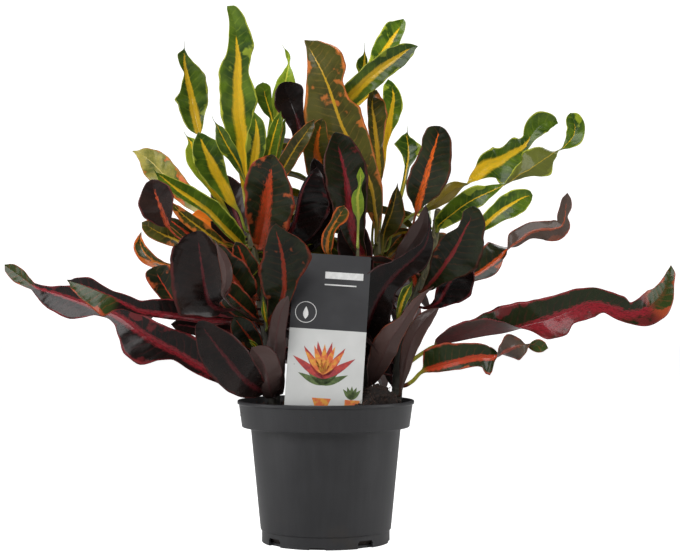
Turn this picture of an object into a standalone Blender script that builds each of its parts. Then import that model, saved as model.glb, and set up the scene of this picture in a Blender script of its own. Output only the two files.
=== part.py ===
"""Potted croton: a plastic nursery pot with its soil, a plant label, leaning stems and twisted leaves.

Sizes are in millimetres and become metres where the meshes are made. X runs to the right, Y away from a
viewer in front, Z up, and the origin is the middle of the pot's flat underside, on the floor.
"""
import math
from collections import namedtuple

import bmesh
import bpy
from mathutils import Matrix, Vector

MM = 0.001

# Driving sizes
TOUCH = 0.3
RIM_RADIUS = 85.0
POT_HEIGHT = 138.0
WALL = 1.6
LIP = 1.5
POT_STEPS = 64
SOIL_STEPS = 56
COLLAR_HEIGHT = 26.0
COLLAR_FOOT_RADIUS = 82.0
BODY_TOP_RADIUS = 73.2
BODY_FOOT_RADIUS = 63.8
FOOT_RADIUS = 62.5
FOOT_HEIGHT = 12.0
FOOT_CHAMFER = 2.0
FLOOR_THICKNESS = 2.5
NOTCHES = 8
FIRST_NOTCH = -52.0
TALL_NOTCH = (10.0, 6.0)
LOW_NOTCH = (16.0, 2.3)
NOTCH_DEPTH = 9.0
DRAIN_HOLES = 6
DRAIN_RADIUS = 4.0
DRAIN_RING = 34.0
DRAIN_TURN = 4.0

SOIL_EDGE = 129.0
SOIL_CROWN = 135.0
MOUND = (50.0, -52.0)
MOUND_RISE = 24.0
MOUND_SPREAD = 9.0

LABEL_WIDTH = 73.0
LABEL_TOP = 166.0
LABEL_NECK = 14.0
LABEL_THICKNESS = 0.8
LABEL_CORNER = 3.0
STAKE_WIDTH = 30.0
LABEL_FOOT = (-3.6, -72.4, 114.0)
LABEL_LEAN = 2.9
LABEL_TILT = 5.7

# A leaf's points are written as a viewer sees them, projected on the upright plane through the pot's
# axis, and their depth behind that plane moves them along the line of sight.
VIEWER = Vector((13.9, -1610.0, 242.0))

STALK = 1.4
LEAD_OUT = 3.0
RIB = 0.6
BLADE = 0.3
SECTION_STEP = 12.0

# Each stem: its radius at the soil and at the top, then its route upward
Stem = namedtuple("Stem", "low_radius top_radius route")
STEMS = {
    "left_stem": Stem(6.0, 3.8, (
        (-50, -18, 104), (-50, -18, 142), (-57, -14, 200), (-66, -8, 255), (-73, -2, 300), (-76, 3, 338))),
    "middle_stem": Stem(5.5, 3.4, (
        (40, 8, 104), (40, 8, 142), (44, 6, 200), (49, 3, 260), (52, 1, 301))),
    "right_stem": Stem(5.5, 3.6, (
        (68, -12, 118), (69, -12, 142), (74, -10, 190), (88, -8, 240), (101, -6, 270), (107, -4, 300),
        (110, -2, 322))),
    "back_stem": Stem(5.5, 3.4, (
        (0, 40, 104), (0, 40, 142), (-4, 42, 220), (0, 44, 300), (4, 44, 360), (5, 44, 394))),
    "young_shoot": Stem(2.4, 1.5, (
        (26, -40, 104), (26, -40, 142), (29, -50, 220), (30, -51, 250), (31, -49, 292))),
}

# Each leaf: the stem and the height where its stalk leaves it, its colouring, and its stations from stalk
# to tip as (across, up, depth, half width, roll). Roll 0 turns the upper face to the viewer, or to the sky
# for a leaf that faces it, and 180 turns it away. A sixth number is the fold along the midrib there.
Leaf = namedtuple("Leaf", "name stem height colour stations fold curl tip face",
                  defaults=(12, 14, 2.0, "front"))
LEAVES = (
    # Top of the left stem
    Leaf("left_leaf_01", "left_stem", 324, "lime", (
        (-79, 352, -2, 5, 0), (-82, 395, -8, 15, 0), (-85, 438, -18, 18.5, -5), (-88.5, 464, -26, 15.3, 0),
        (-86, 486, -32, 14.2, 5), (-89, 511, -38, 10.5, 10), (-98, 525, -42, 0, 10)), tip=1.4),
    Leaf("left_leaf_02", "left_stem", 308, "lime", (
        (-92, 326, 14, 1.5, 0), (-112, 368, 30, 1.6, 0), (-124, 398, 44, 3, 0), (-128, 418, 50, 12, 0),
        (-132, 438, 52, 15.5, 0), (-136, 458, 52, 11.5, 0), (-140, 474, 48, 5.5, 0), (-141, 483, 44, 0, 0))),
    Leaf("left_leaf_03", "left_stem", 302, "lime", (
        (-85, 322, -16, 1.6, 0), (-97, 346, -22, 6, 0), (-107, 364, -26, 14.5, 0), (-115, 382, -28, 13, 0),
        (-123, 399, -28, 0, 0)), tip=1.4),
    Leaf("left_leaf_04", "left_stem", 314, "lime", (
        (-80, 340, -18, 3.5, -25), (-88, 365, -32, 8, -25), (-98, 387, -40, 9.5, -25),
        (-105, 402, -42, 6, -25),
        (-109, 412, -44, 0, -25)), fold=45, tip=1.2),
    Leaf("left_leaf_05", "left_stem", 318, "lime", (
        (-74, 345, -14, 4, 0), (-70, 375, -26, 9.5, 0), (-68, 398, -33, 9.5, 5), (-70, 414, -36, 6, 10),
        (-76, 426, -36, 0, 10)), tip=1.2),
    Leaf("left_leaf_06", "left_stem", 332, "young", (
        (-60, 365, 24, 3, 0), (-46, 415, 34, 7, 0), (-38, 446, 38, 10.5, 0), (-35, 463, 36, 4, 30),
        (-35, 473, 34, 3.5, 30), (-41, 482, 30, 0, 30))),
    Leaf("left_leaf_07", "left_stem", 311, "maroon", (
        (-58, 335, -2, 2.2, 0), (-44, 372, 4, 3, 0), (-32, 398, 8, 7, 0), (-32, 415, 10, 14.5, 0),
        (-36, 432, 12, 16.5, 0), (-39, 449, 12, 0, 0))),
    Leaf("left_leaf_08", "left_stem", 285, "lime", (
        (-86, 293, -18, 3, 0), (-98, 307, -34, 7, 0), (-114, 324, -50, 10.5, 0), (-132, 340, -62, 11.5, 0),
        (-149, 352, -70, 9, 0), (-163, 364, -76, 4, 0), (-171, 376, -80, 0, 0)), tip=1.2),
    Leaf("left_leaf_09", "left_stem", 290, "speckled", (
        (-98, 305, 4, 3, 0), (-125, 330, 12, 8, 0), (-145, 347, 22, 12, 0), (-160, 360, 30, 15, 0),
        (-172, 371, 36, 12.5, 0), (-181, 378, 40, 5, 0), (-190, 382, 44, 0, 0))),
    Leaf("left_leaf_10", "left_stem", 296, "maroon", (
        (-84, 308, -3, 5, 0), (-90, 324, 2, 13, 0), (-96, 338, 8, 17, 0), (-101, 350, 12, 11, 0),
        (-105, 357, 14, 0, 0))),
    Leaf("left_leaf_11", "left_stem", 288, "red_green", (
        (-66, 293, -26, 8, 0), (-62, 303, -40, 18, 0), (-58, 322, -58, 25, 0), (-55, 342, -70, 24, 0),
        (-52, 360, -78, 18, 0), (-50, 372, -82, 10, 0), (-49, 380, -84, 0, 0))),
    Leaf("left_leaf_12", "left_stem", 255, "red_black", (
        (-48, 284, -26, 4, -15), (-36, 300, -36, 9, -15), (-29, 320, -46, 14, -15),
        (-24, 342, -52, 15.5, -15),
        (-18, 360, -54, 10, -15), (-11, 374, -54, 0, -15)), fold=30, tip=1.5),
    Leaf("left_leaf_13", "left_stem", 280, "olive", (
        (-88, 287, -12, 3, 0), (-105, 296, -26, 6, 0), (-122, 308, -38, 7.5, 0), (-138, 318, -46, 6.5, 0),
        (-150, 325, -50, 4, 0), (-157, 330, -54, 0, 0)), tip=1.5),
    Leaf("left_leaf_14", "left_stem", 272, "maroon", (
        (-92, 276, -26, 1.6, 0), (-125, 288, -56, 1.5, 0), (-150, 300, -78, 1.6, 0), (-156, 309, -84, 2, 0),
        (-162, 319, -88, 11, 0), (-168, 333, -92, 17, 0), (-172, 344, -94, 13, 0), (-175, 352, -94, 0, 0))),
    Leaf("left_leaf_15", "left_stem", 264, "olive", (
        (-95, 272, -16, 2, 0), (-125, 284, -38, 3, 0), (-142, 294, -56, 7, 0), (-155, 300, -66, 10, 0),
        (-168, 305, -72, 10, 0), (-180, 309, -76, 0, 0))),
    Leaf("left_leaf_16", "left_stem", 258, "orange", (
        (-92, 262, -8, 2, 0), (-125, 264, -4, 2.5, 0), (-148, 268, -2, 4, 0), (-163, 271, 0, 7, 0),
        (-176, 278, 2, 9, 0), (-183, 290, 4, 7, 0), (-181, 302, 6, 0, 0))),
    # Lower on the left stem
    Leaf("left_leaf_17", "left_stem", 243, "red_green", (
        (-90, 236, -24, 2, 0), (-118, 228, -38, 2.5, 0), (-138, 225, -48, 3, 0), (-147, 232, -52, 5, 0),
        (-156.5, 246, -56, 11, 0), (-164, 258, -58, 15.5, 0), (-167, 265, -59, 12, 0),
        (-169, 269, -59, 0, 0))),
    Leaf("left_leaf_18", "left_stem", 227, "maroon", (
        (-80, 228, -38, 2, 0), (-100, 226, -64, 3, 0), (-115, 234, -88, 12, 0), (-119, 248, -104, 26, 0),
        (-121, 266, -116, 34, 0), (-124, 286, -124, 28, 0), (-129, 303, -128, 0, 0)), curl=40),
    Leaf("left_leaf_19", "left_stem", 236, "red_green", (
        (-75, 236, -30, 7, 0), (-85, 250, -44, 17, 0), (-95, 264, -55, 18, 0), (-103, 279, -61, 11, 0),
        (-108, 291, -63, 0, 0))),
    Leaf("left_leaf_20", "left_stem", 206, "red_green", (
        (-56, 214, -46, 6, 0), (-49, 228, -62, 12, 0), (-44, 250, -75, 19, 0), (-42, 272, -86, 22.5, 0),
        (-41, 292, -94, 16, 0), (-42, 305, -100, 7, 0), (-43, 313, -104, 0, 0)), tip=1.4),
    Leaf("left_leaf_21", "left_stem", 220, "red_black", (
        (-84, 216, -36, 3, 0), (-110, 216, -60, 5, 0), (-135, 221, -80, 7.5, 0), (-158, 227, -96, 10, 0),
        (-178, 228, -106, 9.5, 0), (-196, 232.5, -112, 11, 0), (-213, 231, -116, 15, 0),
        (-228, 244, -118, 15.5, 0),
        (-243, 250, -116, 9, 0), (-254, 256, -112, 0, 0)), fold=25, tip=1.4),
    Leaf("left_leaf_22", "left_stem", 154, "red_black", (
        (-75, 153, -30, 4, 0), (-95, 157, -42, 5.5, 0), (-115, 168, -52, 7.5, 0), (-135, 182, -60, 11, 0),
        (-152, 192, -66, 15, 0), (-172, 197, -68, 22, 0), (-184, 200, -67, 26, 0), (-198, 212, -65, 13, 30),
        (-211, 221, -62, 6, 70), (-225, 226, -58, 8, 40), (-242, 231, -54, 14.5, 0),
        (-258, 236, -50, 13.5, 0),
        (-272, 242, -46, 9, 20), (-284, 247, -42, 4, 40), (-295, 255, -38, 8, 0), (-306, 263, -34, 9.5, 0),
        (-317, 271, -30, 0, 0))),
    Leaf("left_leaf_23", "left_stem", 147, "maroon", (
        (-62, 147, -50, 5, 0), (-71, 151, -72, 12, 0), (-84, 162, -92, 19, 0), (-97, 178, -106, 22, 0),
        (-108, 192, -115, 20, 0), (-117, 204, -122, 13, 0), (-125, 215, -126, 0, 0))),
    Leaf("left_leaf_24", "left_stem", 144, "maroon", (
        (-50, 149, -48, 5, 180), (-53, 155, -59, 11, 180), (-58, 166, -71, 15, 180),
        (-66, 180, -76, 11, 180),
        (-77, 191, -78, 0, 180))),
    # Middle stem
    Leaf("middle_leaf_01", "middle_stem", 291, "olive", (
        (50, 310, -8, 4, 180), (47, 322, -10, 9, 180), (39, 345, -14, 18.5, 180), (30, 372, -18, 20, 180),
        (20, 396, -22, 23, 180), (9, 419, -26, 27, 180), (1, 443, -28, 18.5, 180), (0, 462, -28, 21, 175),
        (-2, 478, -24, 20.5, 170), (-11, 490, -20, 12, 170), (-19, 497, -16, 0, 170)), fold=8),
    Leaf("middle_leaf_02", "middle_stem", 292, "lime", (
        (54, 322, 24, 2, 0), (52, 340, 36, 2, 0), (51, 365, 48, 3, 0), (53, 382, 56, 6, 0),
        (57, 403, 62, 12, 0), (62, 424, 64, 14, 0), (61, 445, 66, 8, 0), (60, 456, 66, 0, 0)), tip=1.3),
    Leaf("middle_leaf_03", "middle_stem", 288, "olive", (
        (51, 345, 8, 3, 0), (49, 378, 22, 8, 0), (47, 405, 36, 14.5, 0), (47, 425, 44, 10.5, 0),
        (50, 442, 48, 0, 0)), tip=1.4),
    Leaf("middle_leaf_04", "middle_stem", 284, "lime", (
        (66, 315, 8, 2, 0), (74, 340, 18, 3, 0), (76, 362, 28, 5, 0), (78, 378, 34, 10, 0),
        (78, 391, 36, 12, 0),
        (75, 399, 36, 4, 0), (73, 406, 36, 0, 0))),
    Leaf("middle_leaf_05", "middle_stem", 262, "red_black", (
        (40, 272, -22, 3, 0), (28, 292, -36, 8, 0), (23, 315, -46, 15, 0), (20, 340, -54, 21, 0),
        (17, 365, -60, 22.5, 0), (14, 385, -62, 16, 0), (12, 401, -62, 0, 0))),
    Leaf("middle_leaf_06", "middle_stem", 270, "red_green", (
        (70, 282, -16, 1.6, 0), (82, 300, -26, 1.7, 0), (88, 322, -38, 4, 0), (93, 338, -48, 15, 0),
        (98, 352, -56, 21.5, 0), (102, 371, -62, 21.5, 0), (107, 392, -64, 15, 0), (110, 407, -64, 0, 0))),
    Leaf("middle_leaf_07", "middle_stem", 297, "lime", (
        (75, 312, -4, 1.8, 160), (97, 325, 0, 4, 165), (115, 337, 4, 7, 165), (130, 346, 8, 6, 150),
        (141, 351, 12, 5, 80), (152, 361, 16, 12, 10), (166, 370, 20, 16.5, 0), (182, 379, 24, 12.5, 0),
        (195, 389, 28, 8, 0), (205, 402, 32, 11.5, 0), (217, 409, 34, 11, 0), (230, 408, 36, 0, 0))),
    Leaf("middle_leaf_08", "middle_stem", 178, "maroon", (
        (38, 194, -22, 9, 0), (42, 215, -36, 18, 0), (53, 240, -45, 21, 0), (68, 263, -54, 22, 0),
        (84, 284, -64, 17, 0), (95, 306, -72, 10, 0), (98, 330, -78, 0, 0))),
    Leaf("middle_leaf_09", "middle_stem", 152, "purple", (
        (45, 160, -20, 5, 180), (48, 169, -32, 11, 180), (54, 182, -48, 14.5, 180),
        (64, 203, -62, 13.5, 180),
        (77, 221, -72, 9, 180), (90, 238, -78, 6, 180), (105, 251, -82, 0, 180)), tip=1.2),
    Leaf("middle_leaf_10", "middle_stem", 280, "olive", (
        (57, 300, -8, 7, 0), (62, 314, -18, 11, 0), (66, 330, -24, 10, 0), (69, 343, -28, 4.5, 0),
        (69, 352, -30, 0, 0))),
    # Right stem
    Leaf("right_leaf_01", "right_stem", 302, "lime", (
        (112, 310, -12, 5, 0), (122, 320, -18, 10.5, 0), (136, 330, -22, 12.5, 0), (152, 340, -26, 11, 0),
        (168, 348, -28, 7, 60), (184, 356, -28, 7, 130), (200, 366, -28, 15, 180),
        (214, 373, -26, 16.5, 190),
        (227, 384, -24, 5, 270), (237, 391, -22, 7, 340), (244, 402, -20, 10, 360),
        (241, 421, -18, 0, 360))),
    Leaf("right_leaf_02", "right_stem", 290, "lime", (
        (125, 293, 4, 2, 0), (142, 302, 10, 3, 0), (157, 313, 14, 8, 0), (172, 323, 18, 12.5, 0),
        (188, 332, 20, 12.5, 0), (204, 340, 22, 0, 0))),
    Leaf("right_leaf_03", "right_stem", 276, "red_green", (
        (122, 268, 2, 3, 0), (140, 265, 4, 9, 0), (153, 269, 6, 13, 0), (166, 279, 8, 15, 10),
        (181, 291, 8, 10.5, 110), (196, 300, 8, 12, 180), (214, 306, 6, 12.5, 180), (227, 309, 4, 8, 180),
        (231, 320, 2, 5, 190), (236, 330, 0, 6, 190), (237, 342, -2, 0, 190))),
    Leaf("right_leaf_04", "right_stem", 244, "red_green", (
        (96, 249, -24, 5, 0), (106, 262, -42, 14, 0), (121, 279, -60, 23, 0), (133, 296, -74, 24.5, 0),
        (139, 312, -82, 17, 0), (146, 330, -86, 0, 0))),
    Leaf("right_leaf_05", "right_stem", 231, "red_black", (
        (98, 238, -13, 5, 0), (115, 245, -28, 13, 0), (133, 253, -36, 14, 0), (149, 265, -40, 0, 0))),
    Leaf("right_leaf_06", "right_stem", 143, "purple", (
        (74, 151, -23, 3, 180), (77, 166, -27, 5, 180), (81, 182, -30, 7.5, 180), (88, 203, -32, 10.5, 180),
        (97, 219, -31, 9.5, 180), (113, 231, -29, 0, 180)), tip=1.4),
    Leaf("right_leaf_07", "right_stem", 172, "red_black", (
        (84, 176, -22, 1.8, 70, 30), (96, 184, -32, 1.8, 70, 30), (106, 192, -42, 3, 70, 40),
        (125, 201, -54, 9, 70, 50), (150, 204, -62, 16, 70, 50), (172, 207, -68, 19, 62, 48),
        (194, 213, -72, 20, 40, 35), (214, 218, -74, 20, 10, 15), (235, 228, -74, 16, 0, 10),
        (255, 233, -72, 14, -10, 10), (271, 234, -70, 11, -35, 10), (283, 229, -66, 7, -50, 10),
        (297, 223, -60, 11, -20, 10), (313, 226, -54, 15, 0, 10), (328, 236, -48, 11.5, 0, 10),
        (336, 250, -42, 7.5, 0, 10), (340, 270, -38, 0, 0, 10))),
    Leaf("right_leaf_08", "right_stem", 153, "red_green", (
        (86, 158, -25, 1.8, 0), (97, 167, -42, 3, 0), (107, 175, -58, 11, 0), (128, 182, -72, 13.5, 0),
        (148, 184, -82, 13, 0), (163, 184, -88, 9, 20), (171, 184, -90, 5, 90), (184, 189, -92, 14.5, 180),
        (197, 193, -92, 5, 270), (206, 192, -92, 7.5, 350), (217, 189, -92, 0, 360))),
    # Back stem and young shoot
    Leaf("back_leaf_01", "back_stem", 380, "lime", (
        (24, 420, 50, 3, 0), (46, 450, 62, 10, 0), (58, 474, 72, 13.5, 0), (65, 499, 78, 12.5, 0),
        (73, 515, 80, 0, 0))),
    Leaf("back_leaf_02", "back_stem", 386, "lime", (
        (12, 424, 34, 4, 0), (22, 435, 28, 12, 0), (40, 448, 22, 13, 0), (60, 463, 16, 13, 0),
        (78, 477, 12, 10.5, 0), (90, 485, 10, 0, 0))),
    Leaf("young_leaf", "young_shoot", 286, "young", (
        (31.5, 305, -52, 1.8, 0), (31, 318, -60, 3.5, 0), (30, 333, -68, 5.8, 0), (33, 345, -72, 2.6, 0),
        (33.5, 350, -74, 1.4, 0), (33.5, 358, -76, 3.8, 0), (33.5, 368, -78, 0, 0))),
    # Leaves behind the plant
    Leaf("back_leaf_03", "back_stem", 362, "red_green", (
        (-10, 376, 62, 3, 0), (-22, 388, 86, 13, 0), (-30, 390, 112, 17, 0), (-38, 380, 140, 13, 0),
        (-44, 364, 165, 0, 0)), face="sky"),
    Leaf("back_leaf_04", "back_stem", 340, "lime", (
        (8, 352, 66, 3, 0), (12, 352, 90, 14, 0), (14, 342, 118, 18, 0), (12, 324, 146, 13, 0),
        (8, 302, 168, 0, 0)), face="sky"),
    Leaf("back_leaf_05", "back_stem", 300, "maroon", (
        (8, 296, 70, 4, 0), (12, 284, 100, 16, 0), (14, 262, 130, 20, 0), (14, 236, 156, 12, 0),
        (14, 214, 172, 0, 0)), face="sky"),
    Leaf("back_leaf_06", "back_stem", 275, "red_black", (
        (-22, 282, 66, 4, 0), (-46, 276, 92, 15, 0), (-66, 262, 116, 18, 0), (-82, 244, 136, 12, 0),
        (-94, 226, 148, 0, 0)), face="sky"),
    Leaf("back_leaf_07", "middle_stem", 240, "red_green", (
        (56, 248, 34, 4, 0), (64, 248, 62, 14, 0), (68, 238, 92, 15, 0), (68, 220, 116, 0, 0)), face="sky"),
    Leaf("back_leaf_08", "right_stem", 262, "olive", (
        (106, 264, 20, 3, 0), (115, 264, 48, 12, 0), (121, 256, 78, 13, 0),
        (124, 240, 106, 0, 0)), face="sky"),
    Leaf("back_leaf_09", "left_stem", 250, "red_green", (
        (-78, 256, 26, 3, 0), (-90, 258, 56, 14, 0), (-98, 250, 88, 17, 0), (-104, 232, 118, 11, 0),
        (-108, 212, 136, 0, 0)), face="sky"),
)

COLOURS = {
    "lime": (0.17, 0.28, 0.04),
    "olive": (0.20, 0.16, 0.04),
    "speckled": (0.36, 0.34, 0.09),
    "orange": (0.45, 0.16, 0.03),
    "red_green": (0.05, 0.09, 0.05),
    "red_black": (0.05, 0.02, 0.02),
    "maroon": (0.035, 0.015, 0.018),
    "purple": (0.13, 0.08, 0.08),
    "young": (0.35, 0.45, 0.05),
}


def remove_everything():
    for item in list(bpy.data.objects):
        bpy.data.objects.remove(item, do_unlink=True)


def collection(name):
    made = bpy.data.collections.new(name)
    bpy.context.scene.collection.children.link(made)
    return made


def material(name, colour, roughness):
    made = bpy.data.materials.new(name)
    made.use_nodes = True
    shader = made.node_tree.nodes["Principled BSDF"]
    shader.inputs["Base Color"].default_value = (*colour, 1.0)
    shader.inputs["Roughness"].default_value = roughness
    shader.inputs["Metallic"].default_value = 0.0
    return made


def add_object(name, data, group, finish=None):
    made = bpy.data.objects.new(name, data)
    group.objects.link(made)
    if finish:
        data.materials.append(finish)
    return made


def add_cutter(name, data):
    made = add_object(name, data, CUTTERS)
    made.hide_render = True
    made.display_type = "WIRE"
    return made


def cut(target, cutter):
    change = target.modifiers.new(cutter.name, "BOOLEAN")
    change.operation = "DIFFERENCE"
    change.object = cutter


def mesh_from_bmesh(name, shape):
    mesh = bpy.data.meshes.new(name)
    shape.to_mesh(mesh)
    shape.free()
    return mesh


# Smooth values between stations

def slope(knots, values, index, limited):
    """Slope of a smooth curve through the values; a limited one never overshoots them."""
    last = len(knots) - 1
    if index == 0:
        return (values[1] - values[0]) / (knots[1] - knots[0])
    if index == last:
        return (values[last] - values[last - 1]) / (knots[last] - knots[last - 1])
    before = knots[index] - knots[index - 1]
    after = knots[index + 1] - knots[index]
    left = (values[index] - values[index - 1]) / before
    right = (values[index + 1] - values[index]) / after
    if not limited:
        return (after * left + before * right) / (before + after)
    if left * right <= 0:
        return 0.0
    return 2 * left * right / (left + right)


def smooth_value(knots, values, place, limited=False):
    index = 0
    while index < len(knots) - 2 and knots[index + 1] < place:
        index += 1
    span = knots[index + 1] - knots[index]
    u = (place - knots[index]) / span
    low = slope(knots, values, index, limited) * span
    high = slope(knots, values, index + 1, limited) * span
    rise = values[index + 1] - values[index]
    return values[index] + u * low + u * u * (3 * rise - 2 * low - high) + u * u * u * (low + high - 2 * rise)


def smooth_point(knots, points, place):
    return Vector([smooth_value(knots, [point[axis] for point in points], place) for axis in range(3)])


def lengths_along(points):
    along = [0.0]
    for before, after in zip(points, points[1:]):
        along.append(along[-1] + (after - before).length)
    return along


# Pot, soil and label

def turned(name, outline, steps):
    """A mesh turned about Z from an outline of (radius, height) that runs down its outer side."""
    shape = bmesh.new()
    verts = [shape.verts.new((radius * MM, 0, height * MM)) for radius, height in outline]
    for before, after in zip(verts, verts[1:]):
        shape.edges.new((before, after))
    guide = bpy.data.objects.new(name, mesh_from_bmesh(name, shape))
    CUTTERS.objects.link(guide)
    turn = guide.modifiers.new("turn", "SCREW")
    turn.steps = steps
    turn.render_steps = steps
    turn.use_merge_vertices = True
    turn.merge_threshold = 0.00001
    bpy.context.view_layer.update()
    mesh = bpy.data.meshes.new_from_object(guide.evaluated_get(bpy.context.evaluated_depsgraph_get()))
    bpy.data.objects.remove(guide, do_unlink=True)
    return mesh


def inner_radius(height):
    """Radius of the pot's inner wall at a height."""
    step = POT_HEIGHT - COLLAR_HEIGHT
    if height > step:
        share = (height - step) / COLLAR_HEIGHT
        return COLLAR_FOOT_RADIUS + (RIM_RADIUS - COLLAR_FOOT_RADIUS) * share - WALL
    share = (height - FOOT_HEIGHT) / (step - FOOT_HEIGHT)
    return BODY_FOOT_RADIUS + (BODY_TOP_RADIUS - BODY_FOOT_RADIUS) * share - WALL


def make_pot():
    step = POT_HEIGHT - COLLAR_HEIGHT
    outline = (
        (0, FLOOR_THICKNESS), (FOOT_RADIUS - WALL - 1, FLOOR_THICKNESS),
        (inner_radius(FOOT_HEIGHT), FOOT_HEIGHT), (inner_radius(step), step),
        (inner_radius(step + 0.5), step + 1.8), (inner_radius(POT_HEIGHT), POT_HEIGHT),
        (RIM_RADIUS + LIP - 0.5, POT_HEIGHT), (RIM_RADIUS + LIP, POT_HEIGHT - 1.0),
        (RIM_RADIUS + LIP - 0.3, POT_HEIGHT - 3.0), (RIM_RADIUS, POT_HEIGHT - 3.6),
        (COLLAR_FOOT_RADIUS, step + 2.0), (COLLAR_FOOT_RADIUS - 1.5, step),
        (BODY_TOP_RADIUS + 1.0, step - 1.6), (BODY_TOP_RADIUS, step - 3.0),
        (BODY_FOOT_RADIUS, FOOT_HEIGHT + 1.0), (FOOT_RADIUS, FOOT_HEIGHT), (FOOT_RADIUS, FOOT_CHAMFER),
        (FOOT_RADIUS - FOOT_CHAMFER, 0), (0, 0))
    finish = material("pot plastic", (0.045, 0.045, 0.048), 0.45)
    pot = add_object("pot", turned("pot", outline, POT_STEPS), PARTS, finish)
    for index in range(NOTCHES):
        width, height = LOW_NOTCH if index % 2 else TALL_NOTCH
        angle = math.radians(FIRST_NOTCH + index * 360 / NOTCHES - 90)
        shape = bmesh.new()
        bmesh.ops.create_cube(shape, size=1.0)
        size = Matrix.Diagonal((NOTCH_DEPTH * MM, width * MM, 2 * height * MM, 1))
        place = Matrix.Translation((0.5 * NOTCH_DEPTH * MM + (FOOT_RADIUS - 0.5 * NOTCH_DEPTH) * MM, 0, 0))
        shape.transform(Matrix.Rotation(angle, 4, "Z") @ place @ size)
        cut(pot, add_cutter(f"notch_{index + 1}", mesh_from_bmesh("notch", shape)))
    for index in range(DRAIN_HOLES):
        angle = math.radians(DRAIN_TURN + index * 360 / DRAIN_HOLES)
        cut(pot, rod(f"drain_{index + 1}", DRAIN_RADIUS, -2, FLOOR_THICKNESS + 2,
                     DRAIN_RING * math.cos(angle), DRAIN_RING * math.sin(angle)))


def rod(name, radius, low, high, x, y):
    """An upright round cutter."""
    shape = bmesh.new()
    bmesh.ops.create_cone(shape, cap_ends=True, segments=16, radius1=radius * MM, radius2=radius * MM,
                          depth=(high - low) * MM)
    shape.transform(Matrix.Translation((x * MM, y * MM, 0.5 * (low + high) * MM)))
    return add_cutter(name, mesh_from_bmesh(name, shape))


def soil_top(radius):
    share = radius / inner_radius(SOIL_EDGE)
    return SOIL_CROWN + (SOIL_EDGE - SOIL_CROWN) * share * share


def make_soil():
    rings = 12
    edge = inner_radius(SOIL_EDGE) - TOUCH
    step = POT_HEIGHT - COLLAR_HEIGHT
    top = [(edge * index / rings, soil_top(edge * index / rings)) for index in range(rings + 1)]
    low = FLOOR_THICKNESS + TOUCH
    side = [(inner_radius(step + 0.5) - TOUCH, step + 2.4), (inner_radius(step) - TOUCH, step + 0.6),
            (inner_radius(FOOT_HEIGHT) - TOUCH, FOOT_HEIGHT), (FOOT_RADIUS - WALL - 1.6, low), (0, low)]
    mesh = turned("soil", top + side, SOIL_STEPS)
    for vertex in mesh.vertices:
        x, y, z = vertex.co / MM
        if z > SOIL_EDGE - 0.1:
            away = ((x - MOUND[0]) ** 2 + (y - MOUND[1]) ** 2) / (2 * MOUND_SPREAD ** 2)
            vertex.co.z += MOUND_RISE * math.exp(-away) * MM
    soil = add_object("soil", mesh, PARTS, material("peat", (0.025, 0.017, 0.012), 0.95))
    for name, stem in STEMS.items():
        x, y, low = stem.route[0]
        cut(soil, rod(f"{name}_hole", stem.low_radius + 0.5, low - TOUCH, 200, x, y))
    slot = label_mesh("label_slot", 0.5, 0.5 * LABEL_THICKNESS + TOUCH)
    cut(soil, add_cutter("label_slot", slot))


def label_mesh(name, margin, half_thickness):
    """The card and its stake, as an upright plate with its foot's tip at the label's own origin."""
    wide = 0.5 * LABEL_WIDTH + margin
    narrow = 0.5 * STAKE_WIDTH + margin
    low = -margin
    corner = LABEL_CORNER
    right = [(0, low), (narrow, low + 6), (narrow, LABEL_NECK - 6 - margin), (wide, LABEL_NECK - margin)]
    for index in range(4):
        angle = math.radians(30 * index)
        top = LABEL_TOP + margin - corner + corner * math.sin(angle)
        right.append((wide - corner + corner * math.cos(angle), top))
    outline = right + [(-x, z) for x, z in reversed(right[1:])]
    curve = bpy.data.curves.new(name, "CURVE")
    curve.dimensions = "2D"
    curve.fill_mode = "BOTH"
    curve.extrude = half_thickness * MM
    spline = curve.splines.new("POLY")
    spline.points.add(len(outline) - 1)
    for point, (x, z) in zip(spline.points, outline):
        point.co = (x * MM, z * MM, 0, 1)
    spline.use_cyclic_u = True
    guide = bpy.data.objects.new(name, curve)
    CUTTERS.objects.link(guide)
    bpy.context.view_layer.update()
    mesh = bpy.data.meshes.new_from_object(guide.evaluated_get(bpy.context.evaluated_depsgraph_get()))
    bpy.data.objects.remove(guide, do_unlink=True)
    weld(mesh)
    stand = Matrix.Rotation(math.radians(90 - LABEL_TILT), 4, "X")
    lean = Matrix.Rotation(math.radians(LABEL_LEAN), 4, "Y")
    mesh.transform(Matrix.Translation(Vector(LABEL_FOOT) * MM) @ lean @ stand)
    return mesh


def weld(mesh):
    shape = bmesh.new()
    shape.from_mesh(mesh)
    bmesh.ops.remove_doubles(shape, verts=shape.verts, dist=0.00001)
    bmesh.ops.recalc_face_normals(shape, faces=shape.faces)
    shape.to_mesh(mesh)
    shape.free()


def make_label():
    add_object("label", label_mesh("label", 0.0, 0.5 * LABEL_THICKNESS), PARTS,
               material("label card", (0.10, 0.10, 0.105), 0.5))


# Stems and leaves

def stem_centre(stem, height):
    points = [Vector(point) for point in stem.route]
    return smooth_point([point.z for point in points], points, height)


def stem_radius(stem, height):
    low, top = stem.route[0][2], stem.route[-1][2]
    return stem.low_radius + (stem.top_radius - stem.low_radius) * (height - low) / (top - low)


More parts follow.
